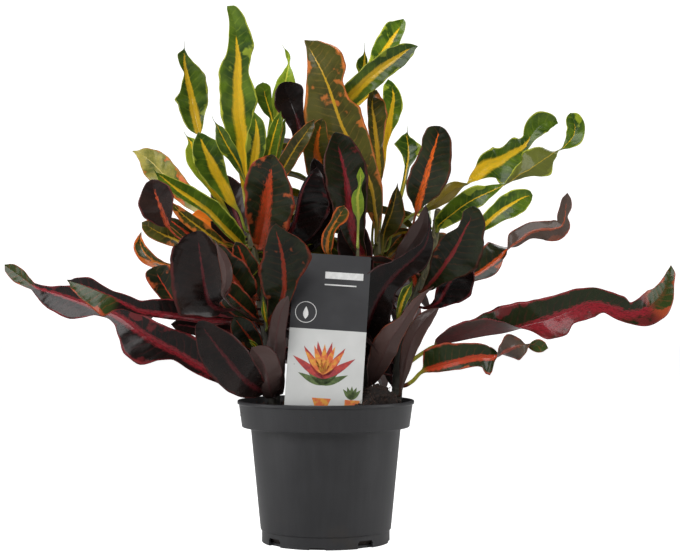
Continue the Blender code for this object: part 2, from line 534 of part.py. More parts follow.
def make_stem(name, stem):
    points = [Vector(point) for point in stem.route]
    along = lengths_along(points)
    count = max(8, round(along[-1] / 12))
    curve = bpy.data.curves.new(name, "CURVE")
    curve.dimensions = "3D"
    curve.bevel_depth = stem.low_radius * MM
    curve.bevel_resolution = 2
    curve.use_fill_caps = True
    spline = curve.splines.new("POLY")
    spline.points.add(count)
    for index, point in enumerate(spline.points):
        height = stem.route[0][2] + (stem.route[-1][2] - stem.route[0][2]) * index / count
        point.co = (*(stem_centre(stem, height) * MM), 1)
        point.radius = stem_radius(stem, height) / stem.low_radius
    add_object(name, curve, PARTS, material(f"{name} bark", (0.16, 0.15, 0.09), 0.7))


def placed(across, up, depth):
    """The real place of a point that the viewer sees at across and up, at a depth behind the axis."""
    seen = Vector((across, 0.0, up))
    return VIEWER + (seen - VIEWER) * ((depth - VIEWER.y) / -VIEWER.y)


def leaf_stations(leaf):
    """Centre points, half widths, rolls and folds from the stalk's foot on its stem to the tip."""
    stem = STEMS[leaf.stem]
    scale = [(station[2] - VIEWER.y) / -VIEWER.y for station in leaf.stations]
    points = [placed(*station[:3]) for station in leaf.stations]
    centre = stem_centre(stem, leaf.height)
    upward = (stem_centre(stem, leaf.height + 1) - centre).normalized()
    outward = points[0] - centre
    outward = (outward - upward * outward.dot(upward)).normalized()
    foot = centre + outward * (stem_radius(stem, leaf.height) + TOUCH)
    points = [foot, foot + outward * LEAD_OUT] + points
    widths = [STALK, STALK] + [station[3] * size for station, size in zip(leaf.stations, scale)]
    rolls = [leaf.stations[0][4]] * 2 + [station[4] for station in leaf.stations]
    folds = [station[5] if len(station) > 5 else leaf.fold for station in leaf.stations]
    folds = [folds[0]] * 2 + folds
    return points, widths, rolls, folds


def half_section(width, fold, curl, side):
    """How far across and how far up the margin lies, for a half blade that starts at the fold's angle."""
    start = math.radians(fold)
    bend = math.radians(max(curl, 0.5))
    across = (math.sin(start + bend) - math.sin(start)) / bend
    up = (math.cos(start) - math.cos(start + bend)) / bend
    return side * width * across, width * up


def leaf_sections(leaf):
    points, widths, rolls, folds = leaf_stations(leaf)
    knots = lengths_along(points)
    whole = knots[-1]
    count = max(9, round(whole / SECTION_STEP))
    facing = Vector((0, -1, 0)) if leaf.face == "front" else Vector((0, 0, 1))
    powered = [width ** leaf.tip for width in widths]
    sections = []
    for index in range(count + 1):
        share = 1 - (1 - index / count) ** 1.35
        place = min(whole * share, whole - 0.5)
        centre = smooth_point(knots, points, place)
        ahead = smooth_point(knots, points, min(place + 0.5, whole))
        behind = smooth_point(knots, points, max(place - 0.5, 0))
        tangent = (ahead - behind).normalized()
        side = tangent.cross(facing).normalized()
        normal = side.cross(tangent)
        roll = math.radians(smooth_value(knots, rolls, place, limited=True))
        turned_side = side * math.cos(roll) + normal * math.sin(roll)
        turned_normal = normal * math.cos(roll) - side * math.sin(roll)
        width = max(smooth_value(knots, powered, place, limited=True), 0.01) ** (1 / leaf.tip)
        fold = smooth_value(knots, folds, place, limited=True)
        blade = min(1.0, max(0.0, (width - STALK) / 4))
        above = STALK * (1 - blade) + BLADE * blade
        below = STALK * (1 - blade) + RIB * blade
        right_across, right_up = half_section(width, fold * blade, leaf.curl * blade, 1)
        left_across, left_up = half_section(width, fold * blade, leaf.curl * blade, -1)
        sections.append((
            centre + turned_side * left_across + turned_normal * left_up,
            centre - turned_normal * below,
            centre + turned_side * right_across + turned_normal * right_up,
            centre + turned_normal * above))
    return sections


def make_leaf(leaf):
    """A leaf and its stalk as one closed loft: each section runs margin, rib, margin, upper face."""
    shape = bmesh.new()
    rings = [[shape.verts.new(point * MM) for point in section] for section in leaf_sections(leaf)]
    for before, after in zip(rings, rings[1:]):
        for index in range(4):
            following = (index + 1) % 4
            corners = (before[index], before[following], after[following], after[index])
            middle = shape.faces.new(corners)
            middle.smooth = True
    shape.faces.new(reversed(rings[0]))
    shape.faces.new(rings[-1])
    bmesh.ops.triangulate(shape, faces=shape.faces)
    bmesh.ops.recalc_face_normals(shape, faces=shape.faces)
    add_object(leaf.name, mesh_from_bmesh(leaf.name, shape), PARTS, LEAF_FINISHES[leaf.colour])


remove_everything()
PARTS = collection("potted croton")
CUTTERS = collection("cutters")
LEAF_FINISHES = {name: material(f"{name} leaf", colour, 0.35) for name, colour in COLOURS.items()}
make_pot()
make_soil()
make_label()
for stem_name, stem_data in STEMS.items():
    make_stem(stem_name, stem_data)
for leaf_data in LEAVES:
    make_leaf(leaf_data)
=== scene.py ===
# %% [markdown]
# # A potted croton
# A croton is a house plant whose thick, glossy leaves twist and are painted in green, yellow, orange, red and
# near black. This one has four leaning stems and a young shoot in a dark nursery pot, with a plastic label.
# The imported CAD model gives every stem, leaf and pot its place. This script puts a detailed piece over each
# of them, makes the finishes, and sets up the studio. All lengths in the tables are millimetres.

# %% Load the frame
import math
from collections import namedtuple

import bmesh
import bpy
import numpy as np
from mathutils import Matrix, Vector, noise


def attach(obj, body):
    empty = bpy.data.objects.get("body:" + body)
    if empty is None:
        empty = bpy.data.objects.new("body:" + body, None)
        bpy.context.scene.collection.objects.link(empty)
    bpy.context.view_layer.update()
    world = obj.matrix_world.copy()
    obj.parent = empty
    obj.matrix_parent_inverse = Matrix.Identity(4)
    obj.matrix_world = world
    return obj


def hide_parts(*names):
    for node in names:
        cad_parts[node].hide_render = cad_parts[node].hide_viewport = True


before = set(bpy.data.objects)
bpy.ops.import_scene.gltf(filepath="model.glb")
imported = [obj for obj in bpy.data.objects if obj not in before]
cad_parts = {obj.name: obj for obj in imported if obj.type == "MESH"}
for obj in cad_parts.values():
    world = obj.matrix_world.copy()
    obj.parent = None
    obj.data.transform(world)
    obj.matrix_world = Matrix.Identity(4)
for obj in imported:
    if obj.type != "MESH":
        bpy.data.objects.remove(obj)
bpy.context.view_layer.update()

MM = 0.001
print("CAD nodes:", len(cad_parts))

# %% [markdown]
# ## Camera, floor and light
# The pot's two ellipses tell where the photographer stood: a long lens a little over a metre and a half away,
# and a little above the pot. Its tilt of 0.6 degrees puts the horizon where the photograph has it.
# The plant was shot in a white box, so the floor and the sky are white, and the light comes from large soft
# panels. Dark leaves and dark plastic take nearly all their shape from what they mirror.

# %% Camera
PHOTO_WIDTH = 680
FOCAL_PIXELS = 1642
SENSOR = 36.0
CAMERA_PLACE = (13.9, -1610.0, 242.0)
CAMERA_RISE = 0.597


def add_camera():
    lens = bpy.data.cameras.new("studio_camera")
    lens.sensor_width = SENSOR
    lens.lens = FOCAL_PIXELS / PHOTO_WIDTH * SENSOR
    camera = bpy.data.objects.new("studio_camera", lens)
    camera.location = Vector(CAMERA_PLACE) * MM
    camera.rotation_euler = (math.radians(90 + CAMERA_RISE), 0, 0)
    bpy.context.scene.collection.objects.link(camera)
    bpy.context.scene.camera = camera
    print("lens", round(lens.lens, 1), "mm")


add_camera()

# %% [markdown]
# ## Shader maths
# A leaf's colouring is a stack of masks: midrib, side veins, margin, blotches. Written as nodes by hand they
# are unreadable, so one small class wraps a socket and lets Python's own signs add the Math nodes.

# %% Sockets as numbers
class Value:
    """A socket's number. Python's own signs on it add its Math nodes."""

    def __init__(self, tree, socket):
        self.tree = tree
        self.socket = socket

    def math(self, operation, *others):
        inputs = dict(enumerate((self, *others)))
        return self.tree.add("ShaderNodeMath", {"operation": operation}, inputs)

    def __add__(self, other):
        return self.math("ADD", other)

    def __radd__(self, other):
        return self.math("ADD", other)

    def __sub__(self, other):
        return self.math("SUBTRACT", other)

    def __rsub__(self, other):
        return self.tree.add("ShaderNodeMath", {"operation": "SUBTRACT"}, {0: other, 1: self})

    def __mul__(self, other):
        return self.math("MULTIPLY", other)

    def __rmul__(self, other):
        return self.math("MULTIPLY", other)

    def __truediv__(self, other):
        return self.math("DIVIDE", other)

    def __abs__(self):
        return self.math("ABSOLUTE")


class Tree:
    """A node tree, with one method that makes every kind of node."""

    def __init__(self, nodes):
        self.nodes = nodes.nodes
        self.links = nodes.links

    def set(self, socket, value):
        if isinstance(value, Value):
            self.links.new(value.socket, socket)
        else:
            socket.default_value = value

    def add(self, kind, settings=None, inputs=None, output=0):
        """Settings come first, because some of them change which sockets a node has."""
        made = self.nodes.new(kind)
        for name, value in (settings or {}).items():
            setattr(made, name, value)
        for name, value in (inputs or {}).items():
            self.set(made.inputs[name], value)
        return Value(self, made.outputs[output])


def linear(part):
    """A screen's red, green or blue as an amount of light, by the usual sRGB curve."""
    if part <= 0.04045:
        return part / 12.92
    return ((part + 0.055) / 1.055) ** 2.4


def hue(text):
    """A colour written as on a screen, in the linear numbers that Blender works in."""
    return (*[linear(int(text[index:index + 2], 16) / 255) for index in (1, 3, 5)], 1.0)


def grey(level):
    return level, level, level, 1.0


class Paint(Tree):
    """One material: its shader and the patterns that feed it."""

    def __init__(self, name, **uniform):
        self.material = bpy.data.materials.new(name)
        self.material.use_nodes = True
        super().__init__(self.material.node_tree)
        self.shader = self.nodes["Principled BSDF"]
        for socket, value in uniform.items():
            self.shader.inputs[socket.replace("_", " ")].default_value = value

    def attribute(self, name):
        return self.add("ShaderNodeAttribute", {"attribute_name": name}, output="Fac")

    def place(self):
        return self.add("ShaderNodeTexCoord", output="Object")

    def split(self, vector, axis):
        return self.add("ShaderNodeSeparateXYZ", inputs={0: vector}, output=axis)

    def join(self, x, y, z):
        return self.add("ShaderNodeCombineXYZ", inputs={0: x, 1: y, 2: z})

    def noise(self, where, scale, detail=2.0, roughness=0.5):
        inputs = {"Vector": where, "Scale": scale, "Detail": detail, "Roughness": roughness}
        return self.add("ShaderNodeTexNoise", inputs=inputs)

    def rise(self, value, start, end):
        """0 below start, 1 above end, and smooth between them."""
        inputs = {"Value": value, 1: start, 2: end, 3: 0.0, 4: 1.0}
        return self.add("ShaderNodeMapRange", {"interpolation_type": "SMOOTHSTEP"}, inputs)

    def blend(self, low, high, mask):
        return self.add("ShaderNodeMix", {"data_type": "RGBA"}, {0: mask, 6: low, 7: high}, 2)

    def brightness(self, colour, gain):
        return self.add("ShaderNodeHueSaturation", inputs={"Value": gain, "Color": colour})

    def feed(self, socket, value):
        self.set(self.shader.inputs[socket], value)

    def bump(self, height, distance, strength):
        inputs = {"Height": height, "Distance": distance, "Strength": strength}
        self.feed("Normal", self.add("ShaderNodeBump", inputs=inputs))


print("shader maths ready")

# %% [markdown]
# ## The studio
# The floor glows a little, as a sheet lit from below would, so that the pot stands in white with only a soft
# shade under it. The sky is white to the eye and a quieter grey to the leaves: a leaf in an evenly white room
# would look flat. Two tall panels stand at the sides, where the pot's plastic shows them as pale bands, and
# a wide one hangs above and in front.

# %% Floor, sky and panels
FLOOR_SIDE = 12.0
SKY_FILL = 0.08
SKY_SEEN = 1.2
FLOOR_FILL = 0.1
FLOOR_SEEN = 0.95


def add_floor():
    mesh = bpy.data.meshes.new("floor")
    half = FLOOR_SIDE / 2
    corners = [(-half, -half, 0), (half, -half, 0), (half, half, 0), (-half, half, 0)]
    mesh.from_pydata(corners, [], [(0, 1, 2, 3)])
    floor = bpy.data.objects.new("floor", mesh)
    bpy.context.scene.collection.objects.link(floor)
    paint = Paint("floor_paper", Roughness=0.9)
    grain = paint.noise(paint.place(), 40.0, 3.0)
    paint.feed("Base Color", paint.blend(hue("#c4c4c4"), hue("#cacaca"), grain))
    seen = paint.add("ShaderNodeLightPath", output="Is Camera Ray")
    paint.feed("Emission Color", paint.blend(grey(FLOOR_FILL), grey(FLOOR_SEEN), seen))
    paint.shader.inputs["Emission Strength"].default_value = 1.0
    mesh.materials.append(paint.material)


def add_sky():
    world = bpy.data.worlds.new("white_box")
    world.use_nodes = True
    bpy.context.scene.world = world
    tree = Tree(world.node_tree)
    seen = tree.add("ShaderNodeLightPath", output="Is Camera Ray")
    steps = {0: seen, 1: SKY_SEEN - SKY_FILL, 2: SKY_FILL}
    strength = tree.add("ShaderNodeMath", {"operation": "MULTIPLY_ADD"}, steps)
    backdrop = tree.nodes["Background"]
    backdrop.inputs["Color"].default_value = grey(1.0)
    tree.set(backdrop.inputs["Strength"], strength)


Panel = namedtuple("Panel", "name place size watts")
PANELS = (
    Panel("panel_left", (-1.3, -0.35, 0.55), (0.5, 1.5), 9),
    Panel("panel_right", (1.3, -0.25, 0.55), (0.5, 1.5), 9),
    Panel("panel_front_top", (-0.5, -1.5, 1.5), (1.6, 0.9), 32),
    Panel("panel_back_top", (0.3, 1.1, 1.6), (1.6, 0.8), 22),
)
AIM = Vector((0, 0, 0.26))


def add_panel(panel):
    light = bpy.data.lights.new(panel.name, "AREA")
    light.shape = "RECTANGLE"
    light.size, light.size_y = panel.size
    light.energy = panel.watts
    lamp = bpy.data.objects.new(panel.name, light)
    lamp.location = panel.place
    lamp.rotation_euler = (AIM - lamp.location).to_track_quat("-Z", "Y").to_euler()
    bpy.context.scene.collection.objects.link(lamp)


add_floor()
add_sky()
for panel in PANELS:
    add_panel(panel)
bpy.context.scene.view_settings.view_transform = "Standard"
print("panels:", len(PANELS))

# %% [markdown]
# ## Where the leaves are
# Each stem is a route upward. Each leaf is a list of stations from its stalk to its tip. A station is where a
# viewer in front sees the middle of the blade, how deep it lies, the half width of the blade and its roll:
# 0 turns the upper face to the viewer and 180 turns it away, so a leaf that twists passes through 90.
# Working from the viewer's side makes the outline right first and leaves the depth free.
# A pair of half widths is the left one and the right one. A roll that isn't given is the leaf's own, mostly
# 0, and a sixth number is the fold at that station.

# %% Stems
TOUCH = 0.3
STALK = 1.4
LEAD_OUT = 3.0
VIEWER = Vector(CAMERA_PLACE)

LEFT, MIDDLE, RIGHT, BACK, SHOOT = "left_stem", "middle_stem", "right_stem", "back_stem", "young_shoot"
Stem = namedtuple("Stem", "low_radius top_radius route")
STEMS = {
    LEFT: Stem(6.0, 3.8, (
        (-50, -18, 104), (-50, -18, 142), (-57, -14, 200), (-66, -8, 255), (-73, -2, 300), (-76, 3, 338))),
    MIDDLE: Stem(5.5, 3.4, (
        (40, 8, 104), (40, 8, 142), (44, 6, 200), (49, 3, 260), (52, 1, 301))),
    RIGHT: Stem(5.5, 3.6, (
        (68, -12, 118), (69, -12, 142), (74, -10, 190), (88, -8, 240), (101, -6, 270), (107, -4, 300),
        (110, -2, 322))),
    BACK: Stem(5.5, 3.4, (
        (0, 40, 104), (0, 40, 142), (-4, 42, 220), (0, 44, 300), (4, 44, 360), (5, 44, 394))),
    SHOOT: Stem(2.4, 1.5, (
        (26, -40, 104), (26, -40, 142), (29, -50, 220), (30, -51, 250), (31, -49, 292))),
}
print("stems:", ", ".join(STEMS))

# %% Leaves
LIME, OLIVE, SPECKLED, ORANGE, YOUNG = "leaf_lime", "leaf_olive", "leaf_speckled", "leaf_orange", "leaf_young"
RED_GREEN, RED_BLACK, MAROON, PURPLE = "leaf_red_green", "leaf_red_black", "leaf_maroon", "leaf_purple"

# Shape: each half rises by the fold at the midrib and bends on by the curl, both in degrees. Tip blunts the
# end, face is where the upper side looks, wave ruffles the margin, awn is the length of the hair at the tip
# and petiole the stalk's radius.
# Looks: rib, patch, tone and back scale the midrib's band, the patches, the brightness and the underside's;
# back is painted shade on the underside below 1 and painted light above 1.
# Warm turns the band from crimson (0) over its own colour (1) to orange (2), fade is where it ends and lean
# makes it lopsided. Green greens the blade, and fresh is the share at the tip that is still fresh green.
Leaf = namedtuple(
    "Leaf",
    "name stem height finish stations fold curl tip face rib warm patch tone wave fade awn lean green fresh "
    "petiole back roll",
    defaults=(12, 14, 2.0, "front", 1.0, 1.0, 1.0, 1.0, 1.0, 0.95, 0.0, 0.0, 0.0, 0.0, STALK, 1.0, 0))
LEAVES = (
    # Top of the left stem
    Leaf("left_leaf_01", LEFT, 324, LIME, (
        (-79, 352, -2, 5), (-80, 378, -5, (9, 7)), (-81.5, 394, -8, (12.5, 9)), (-85, 415, -13, (17, 14)),
        (-86, 432, -17, (18, 19)), (-86.4, 448, -21, (17.5, 16)), (-86.2, 460, -25, (19, 10.5)),
        (-86, 474, -29, (13.5, 13)), (-87.4, 487, -33, (8.6, 17.4), 5), (-89, 502, -36, (6, 14.5), 8),
        (-91.5, 513, -39, (4, 11.5), 10), (-94.5, 520, -41, (2.4, 9), 10), (-97, 524.5, -42, 0, 10)),
        rib=2.7, tone=1.3, fade=0.86),
    Leaf("left_leaf_02", LEFT, 308, LIME, (
        (-92, 326, 14, 1.5), (-112, 368, 30, 1.6), (-124, 397, 44, 2), (-126.5, 409, 47, (11.5, 7.3)),
        (-128.8, 419, 50, (13.3, 12.5)), (-130.4, 428, 51, (14, 15.4)), (-131.6, 434.5, 52, 17),
        (-133, 441, 52, (11, 18)), (-135, 449, 52, (6.5, 18)), (-137, 459, 52, (2.4, 15.5)),
        (-138.8, 470, 49, (5.5, 8.6)), (-138.9, 477, 47, (6.5, 3)), (-139, 483, 44, 0)),
        rib=2.3, tone=0.85, awn=8),
    Leaf("left_leaf_03", LEFT, 302, LIME, (
        (-85, 322, -16, 2), (-92, 332, -19, (5, 4)), (-99, 345, -22, (9, 6)), (-105, 356, -24, (13, 9)),
        (-110, 365, -26, (15, 12)), (-114, 374, -27, (15.5, 14.5)), (-118, 382, -28, (14, 15)),
        (-121.5, 390, -28, (10, 11)), (-124, 397, -28, (4, 5)), (-125.5, 400.5, -28, 0)), rib=2.2),
    Leaf("left_leaf_04", LEFT, 314, LIME, (
        (-76, 345, -20, 2), (-81, 357, -26, (3.5, 2)), (-85.5, 368, -33, (6, 3)), (-91, 377.5, -37, (8, 5)),
        (-97, 387.5, -40, (11, 6)), (-101, 395, -41, (9.5, 6)), (-104.5, 402, -42, (5.5, 4.5)),
        (-107.5, 408, -43, 2), (-109, 410.5, -44, 0)), fold=30, rib=0.4, tone=1.1, awn=7, roll=-15),
    Leaf("left_leaf_05", LEFT, 318, LIME, (
        (-72, 350, -16, 3), (-71, 362, -22, (6, 5)), (-69.5, 375, -27, (8.5, 7.5)),
        (-68, 388, -31, (10.5, 9.5)), (-67.5, 399, -34, 9.5, 5), (-68, 408, -35, (6, 8), 8),
        (-69.5, 415, -36, (3, 5), 10), (-70, 420, -36, 0, 10)), rib=1.9, tone=1.1),
    Leaf("left_leaf_06", LEFT, 332, YOUNG, (
        (-60, 365, 24, 3), (-48, 415, 34, 7), (-43, 438, 36, (9, 13)), (-40, 449, 38, (8, 11)),
        (-37.5, 460, 37, (4, 6), 15), (-36.3, 468, 36, 2.2, 30), (-36.5, 475, 34, (3.5, 3), 30),
        (-38.5, 480, 32, (3, 2), 30), (-40.5, 482.5, 30, 0, 30)), awn=5, tone=1.35, patch=3.0),
    Leaf("left_leaf_07", LEFT, 311, MAROON, (
        (-58, 335, -2, 2.2), (-40, 365, 2, 3), (-28, 390, 6, 5), (-26, 404, 8, (9, 6)),
        (-30, 418, 10, (13, 9)), (-34.5, 430, 12, (16, 13.5)), (-38, 440, 12, (13, 16)),
        (-39.5, 446, 12, (8, 12)), (-40, 450, 12, 0)), rib=3.0, fade=0.8, tone=0.7),
    Leaf("left_leaf_08", LEFT, 285, LIME, (
        (-79, 287, -16, (2, 3)), (-84, 291.5, -20, (2.5, 7)), (-94, 301, -30, (4, 11.5)),
        (-103.7, 311, -40, (4, 13)), (-113.5, 321.5, -48, (4, 13)), (-125, 330.5, -58, (5, 11.5)),
        (-136.4, 338, -64, (5.7, 10.7)), (-148, 346, -70, (5.5, 8.5)), (-159, 355, -75, (6, 4)),
        (-167, 361.5, -79, (2, 1)), (-170, 365, -80, 0)), rib=1.05, tone=1.2),
    Leaf("left_leaf_09", LEFT, 290, SPECKLED, (
        (-98, 305, 4, 3), (-118, 322, 10, 6), (-135, 336, 16, (9, 10)), (-150, 350, 22, (11, 13)),
        (-162, 362, 28, (14, 15)), (-171, 371, 33, (12, 13)), (-178, 376.5, 36, (7, 9)),
        (-184, 379.5, 39, (3.5, 4)), (-190, 382, 42, 0)), rib=0.6, patch=1.5),
    Leaf("left_leaf_10", LEFT, 296, MAROON, (
        (-84, 308, -3, 5), (-90, 324, 2, 13), (-96, 338, 8, 17), (-101, 350, 12, 11), (-105, 357, 14, 0)),
        tone=2.8),
    Leaf("left_leaf_11", LEFT, 288, RED_GREEN, (
        (-66, 289, -22, (4, 6)), (-64, 297, -32, (9, 14)), (-61.5, 308, -44, (14.5, 23)),
        (-59.5, 320, -56, (18.5, 26)), (-57.5, 335, -66, (21.5, 28)), (-55.5, 350, -74, (23.5, 24.5)),
        (-54, 362, -79, (22, 15.5)), (-53.5, 370, -81, (18, 10.5)), (-53.5, 375, -82, (13, 5.5)),
        (-54, 378.5, -82, 0)), rib=3.2, tone=1.25, fade=0.9, patch=1.4, warm=1.25),
    Leaf("left_leaf_12", LEFT, 255, RED_BLACK, (
        (-48, 284, -26, 4), (-38, 296, -34, (4, 14)), (-31, 310, -42, (3, 22)), (-27.5, 324, -47, (2.5, 28)),
        (-25, 337, -51, (2.5, 30)), (-20.5, 349, -53, (2.5, 26)), (-14, 359, -54, (2, 16)),
        (-8, 366, -54, 0)), rib=0.9, tone=0.4, patch=0.2, roll=-10),
    Leaf("left_leaf_13", LEFT, 280, OLIVE, (
        (-88, 287, -12, 3), (-100, 291, -22, 4), (-112, 298, -32, 6), (-124, 307, -40, 7),
        (-136, 316, -46, (6.5, 6)), (-145, 324, -49, (5, 4.5)), (-150.5, 330, -51, 2.5), (-152, 333, -52, 0)),
        tone=1.6, patch=2.2, rib=0.5),
    Leaf("left_leaf_14", LEFT, 272, MAROON, (
        (-92, 276, -26, 1.6), (-125, 288, -56, 1.5), (-146, 298, -76, 1.6), (-154, 307, -82, 2.2),
        (-158, 316, -86, (12, 7)), (-161.5, 325, -90, (18.5, 12.5)), (-165, 334, -92, (19, 16.5)),
        (-168, 343, -93, (14.5, 15.5)), (-170, 350, -94, (8, 9)), (-171, 354, -94, 0)),
        rib=2.2, warm=1.35, tone=2.2),
    Leaf("left_leaf_15", LEFT, 264, OLIVE, (
        (-95, 272, -16, 2), (-125, 284, -38, 3), (-140, 291, -54, 5), (-150, 296, -62, (7.5, 8)),
        (-160, 300, -68, (8.5, 10.5)), (-169, 305, -72, 9), (-176, 309, -75, 6), (-180.5, 312, -76, 0)),
        rib=0.8, tone=1.6),
    Leaf("left_leaf_16", LEFT, 258, ORANGE, (
        (-92, 262, -8, 2), (-125, 264, -4, 2.5), (-146, 268.5, -2, 2.5), (-158, 270.5, 0, (4, 3)),
        (-168, 273.5, 1, (6.5, 5)), (-176, 280, 2, (8, 6)), (-181, 288, 4, (7.5, 4.5)),
        (-182.5, 296, 5, (4, 3)), (-181, 302.5, 6, 0)), patch=2.6),
    # Lower on the left stem
    Leaf("left_leaf_17", LEFT, 243, RED_GREEN, (
        (-90, 236, -24, 2), (-118, 228, -38, 2.5), (-138, 225, -48, 3), (-147, 232, -52, 6),
        (-155, 244, -56, (9.5, 11)), (-161, 253.5, -58, (11, 14)), (-165, 260.5, -59, (12, 15)),
        (-167, 265.5, -59, (10, 14)), (-168, 268.5, -59, 0)), rib=0.5, tone=1.4),
    Leaf("left_leaf_18", LEFT, 227, MAROON, (
        (-80, 228, -38, 2), (-100, 226, -64, 3), (-113, 232, -86, (14, 8)), (-117, 242, -98, (30, 17)),
        (-119.5, 254, -108, (30, 26)), (-121.5, 268, -116, (30, 29)), (-123.5, 282, -121, (28, 25)),
        (-124.5, 291, -125, (26.5, 18)), (-125.5, 297.5, -127, (22.5, 11)), (-126.5, 301, -128, (16, 6.5)),
        (-127.2, 303.5, -128, 0)), curl=40, tip=1.3, wave=0.5, tone=1.5, rib=1.2),
    Leaf("left_leaf_19", LEFT, 236, RED_GREEN, (
        (-75, 236, -30, 7), (-85, 250, -44, 17), (-95, 264, -55, 18), (-103, 279, -61, 11),
        (-108, 291, -63, 0)), tone=1.1),
    Leaf("left_leaf_20", LEFT, 206, RED_GREEN, (
        (-56, 213, -46, 4), (-50, 222, -55, (8, 5)), (-44, 233, -64, (14, 8)), (-41, 245, -72, (20, 10)),
        (-40.7, 258, -78, (24, 15)), (-41.5, 270, -84, (25, 24)), (-43, 281, -89, (21, 29)),
        (-45.5, 292, -94, (16, 22)), (-48, 301, -98, (10, 12)), (-49, 307, -101, (5, 6)),
        (-49, 311, -103, 0)), tip=1.4, rib=1.2, tone=0.72, patch=1.3),
    Leaf("left_leaf_21", LEFT, 220, RED_BLACK, (
        (-84, 216, -36, 3), (-110, 216, -60, 5), (-135, 218.5, -80, (3.5, 9)), (-155, 222, -94, (5, 15)),
        (-170, 223.5, -102, (4.5, 14)), (-185, 226.5, -108, (4.5, 10)), (-196, 232, -112, (6, 9)),
        (-203, 235.5, -114, (11, 8)), (-211, 239.5, -116, (21, 6)), (-222, 244, -117, (17.5, 7.5)),
        (-233, 248.5, -117, (13.5, 9.5)), (-243, 252, -116, (9, 6)), (-250, 254, -114, (4, 2.5)),
        (-254, 255.5, -113, 0)), fold=18, rib=1.3, tone=1.05, lean=-0.2, wave=0.5, fresh=-0.22),
    Leaf("left_leaf_22", LEFT, 154, RED_BLACK, (
        (-75, 153, -30, 4), (-92, 155.5, -38, 5.5), (-106, 161, -46, (6, 10)), (-118, 168, -53, (8, 18)),
        (-130, 175, -58, (8.5, 23)), (-145, 184, -63, (8, 22)), (-157, 190, -66, (14.5, 20)),
        (-170, 197, -68, (27, 18)), (-181, 204, -68, (26, 17)), (-192, 212, -67, (16.5, 14)),
        (-203, 219.5, -64, (8.5, 9.5)), (-212, 223.5, -62, (6, 7)), (-222, 227, -59, (7, 10)),
        (-234, 232, -56, (15.5, 14.5)), (-247, 236.5, -53, (19.5, 13.5)), (-260, 241, -50, (17.5, 9)),
        (-272, 244.5, -47, (14, 5)), (-281, 247, -44, (7.5, 4)), (-286.5, 249.5, -42, (4.5, 3.5)),
        (-292, 253.5, -40, (6, 4.5)), (-300, 259.5, -37, (8, 7)), (-307, 264.5, -34, 6.5),
        (-311.5, 267.5, -33, 4.5), (-315, 270.5, -32, 0)),
        rib=1.7, wave=0.5, lean=-0.1, fresh=0.1, patch=1.3),
    Leaf("left_leaf_23", LEFT, 147, MAROON, (
        (-62, 147, -50, 5), (-71, 151, -72, 12), (-84, 162, -92, 19), (-97, 178, -106, 22),
        (-108, 192, -115, 20), (-117, 204, -122, 13), (-125, 215, -126, 0)), wave=0.4, rib=1.4),
    Leaf("left_leaf_24", LEFT, 144, MAROON, (
        (-52, 141, -40, 7), (-54, 145, -52, (11, 10)), (-56, 153, -66, (13.5, 12.5)),
        (-58, 163, -78, (15, 14)), (-61, 173, -85, (15.5, 14)), (-65.5, 180.5, -89, (13, 12)),
        (-70, 186, -91, (7.5, 5.5)), (-73, 189.5, -92, 0)), tip=1.3, roll=180),
    # Middle stem
    Leaf("middle_leaf_01", MIDDLE, 291, OLIVE, (
        (50, 310, -8, 4, 180), (48, 325, -10, 8, 180), (45, 345, -13, (11, 12), 180), (38, 362, -16, 14, 180),
        (30, 378, -18, (18, 17), 180), (24, 391, -20, (20, 23), 180), (17.4, 403, -22, (22.5, 30), 180),
        (12.5, 415.4, -24, (23.5, 33), 180), (8, 429, -26, (16, 31), 180), (3, 444, -28, (15, 24.5), 180),
        (-3.5, 459.5, -28, (25.5, 17.5), 178), (-10.4, 472.6, -25, (26.5, 9), 176),
        (-15, 481, -22, (21.5, 4.5), 174), (-18, 486, -19, (14.5, 2), 172), (-20, 489, -17, (8, 1), 171),
        (-21, 491, -16, 0, 170)), fold=8, rib=0.9, tone=1.3, patch=2.0, wave=0.5),
    Leaf("middle_leaf_02", MIDDLE, 292, LIME, (
        (54, 322, 24, 2), (53, 345, 36, 2), (55, 370, 50, 4), (57.5, 387, 58, (5, 3)),
        (60.5, 400, 61, (8, 4)), (63, 414, 63, 9), (65.5, 427, 64, 10), (66.5, 438, 65, (11, 6.5)),
        (63, 448, 66, (7, 3)), (61, 452.5, 66, 0)), rib=2.6, tone=1.95),
    Leaf("middle_leaf_03", MIDDLE, 288, OLIVE, (
        (51, 345, 8, 3), (51.5, 370, 18, 6), (50.5, 385, 26, 6), (49, 399, 32, (7, 9)),
        (47, 415, 40, (6, 13.5)), (45.5, 428, 44, (5, 13)), (47, 437, 46, (5, 7)), (50, 442, 48, 0)),
        rib=1.6, tone=1.15),
    Leaf("middle_leaf_04", MIDDLE, 284, LIME, (
        (66, 315, 8, 2), (73, 336, 16, 3), (77, 352, 23, 3), (79.5, 366, 28, (3, 3.5)),
        (81, 376, 32, (6.5, 8)), (81, 384, 35, (11, 13)), (80.5, 390, 36, (14, 8)), (79.5, 396, 36, (6, 3)),
        (80, 401, 36, 0)), rib=0.5, tone=1.1, awn=6),
    Leaf("middle_leaf_05", MIDDLE, 262, RED_BLACK, (
        (40, 272, -22, 3), (30, 292, -36, 8), (25, 312, -46, (13, 14)), (22.5, 332, -53, (17, 18)),
        (20.5, 350, -58, (20, 21)), (17.5, 366, -60, (20, 22)), (14, 380, -62, (16, 18)),
        (11.5, 390, -62, (10, 14)), (10, 396, -62, (5, 9)), (9.5, 400.5, -62, 0)),
        rib=1.8, fade=0.92, patch=0.0, tone=0.9, green=0.6),
    Leaf("middle_leaf_06", MIDDLE, 270, RED_GREEN, (
        (70, 282, -16, 1.6), (82, 300, -26, 1.7), (88, 319, -36, 2), (90.8, 329, -42, (6, 5)),
        (93.2, 338.7, -48, (13, 12)), (96.5, 350, -55, (17.5, 19)), (99.7, 361.6, -59, (16.5, 21.5)),
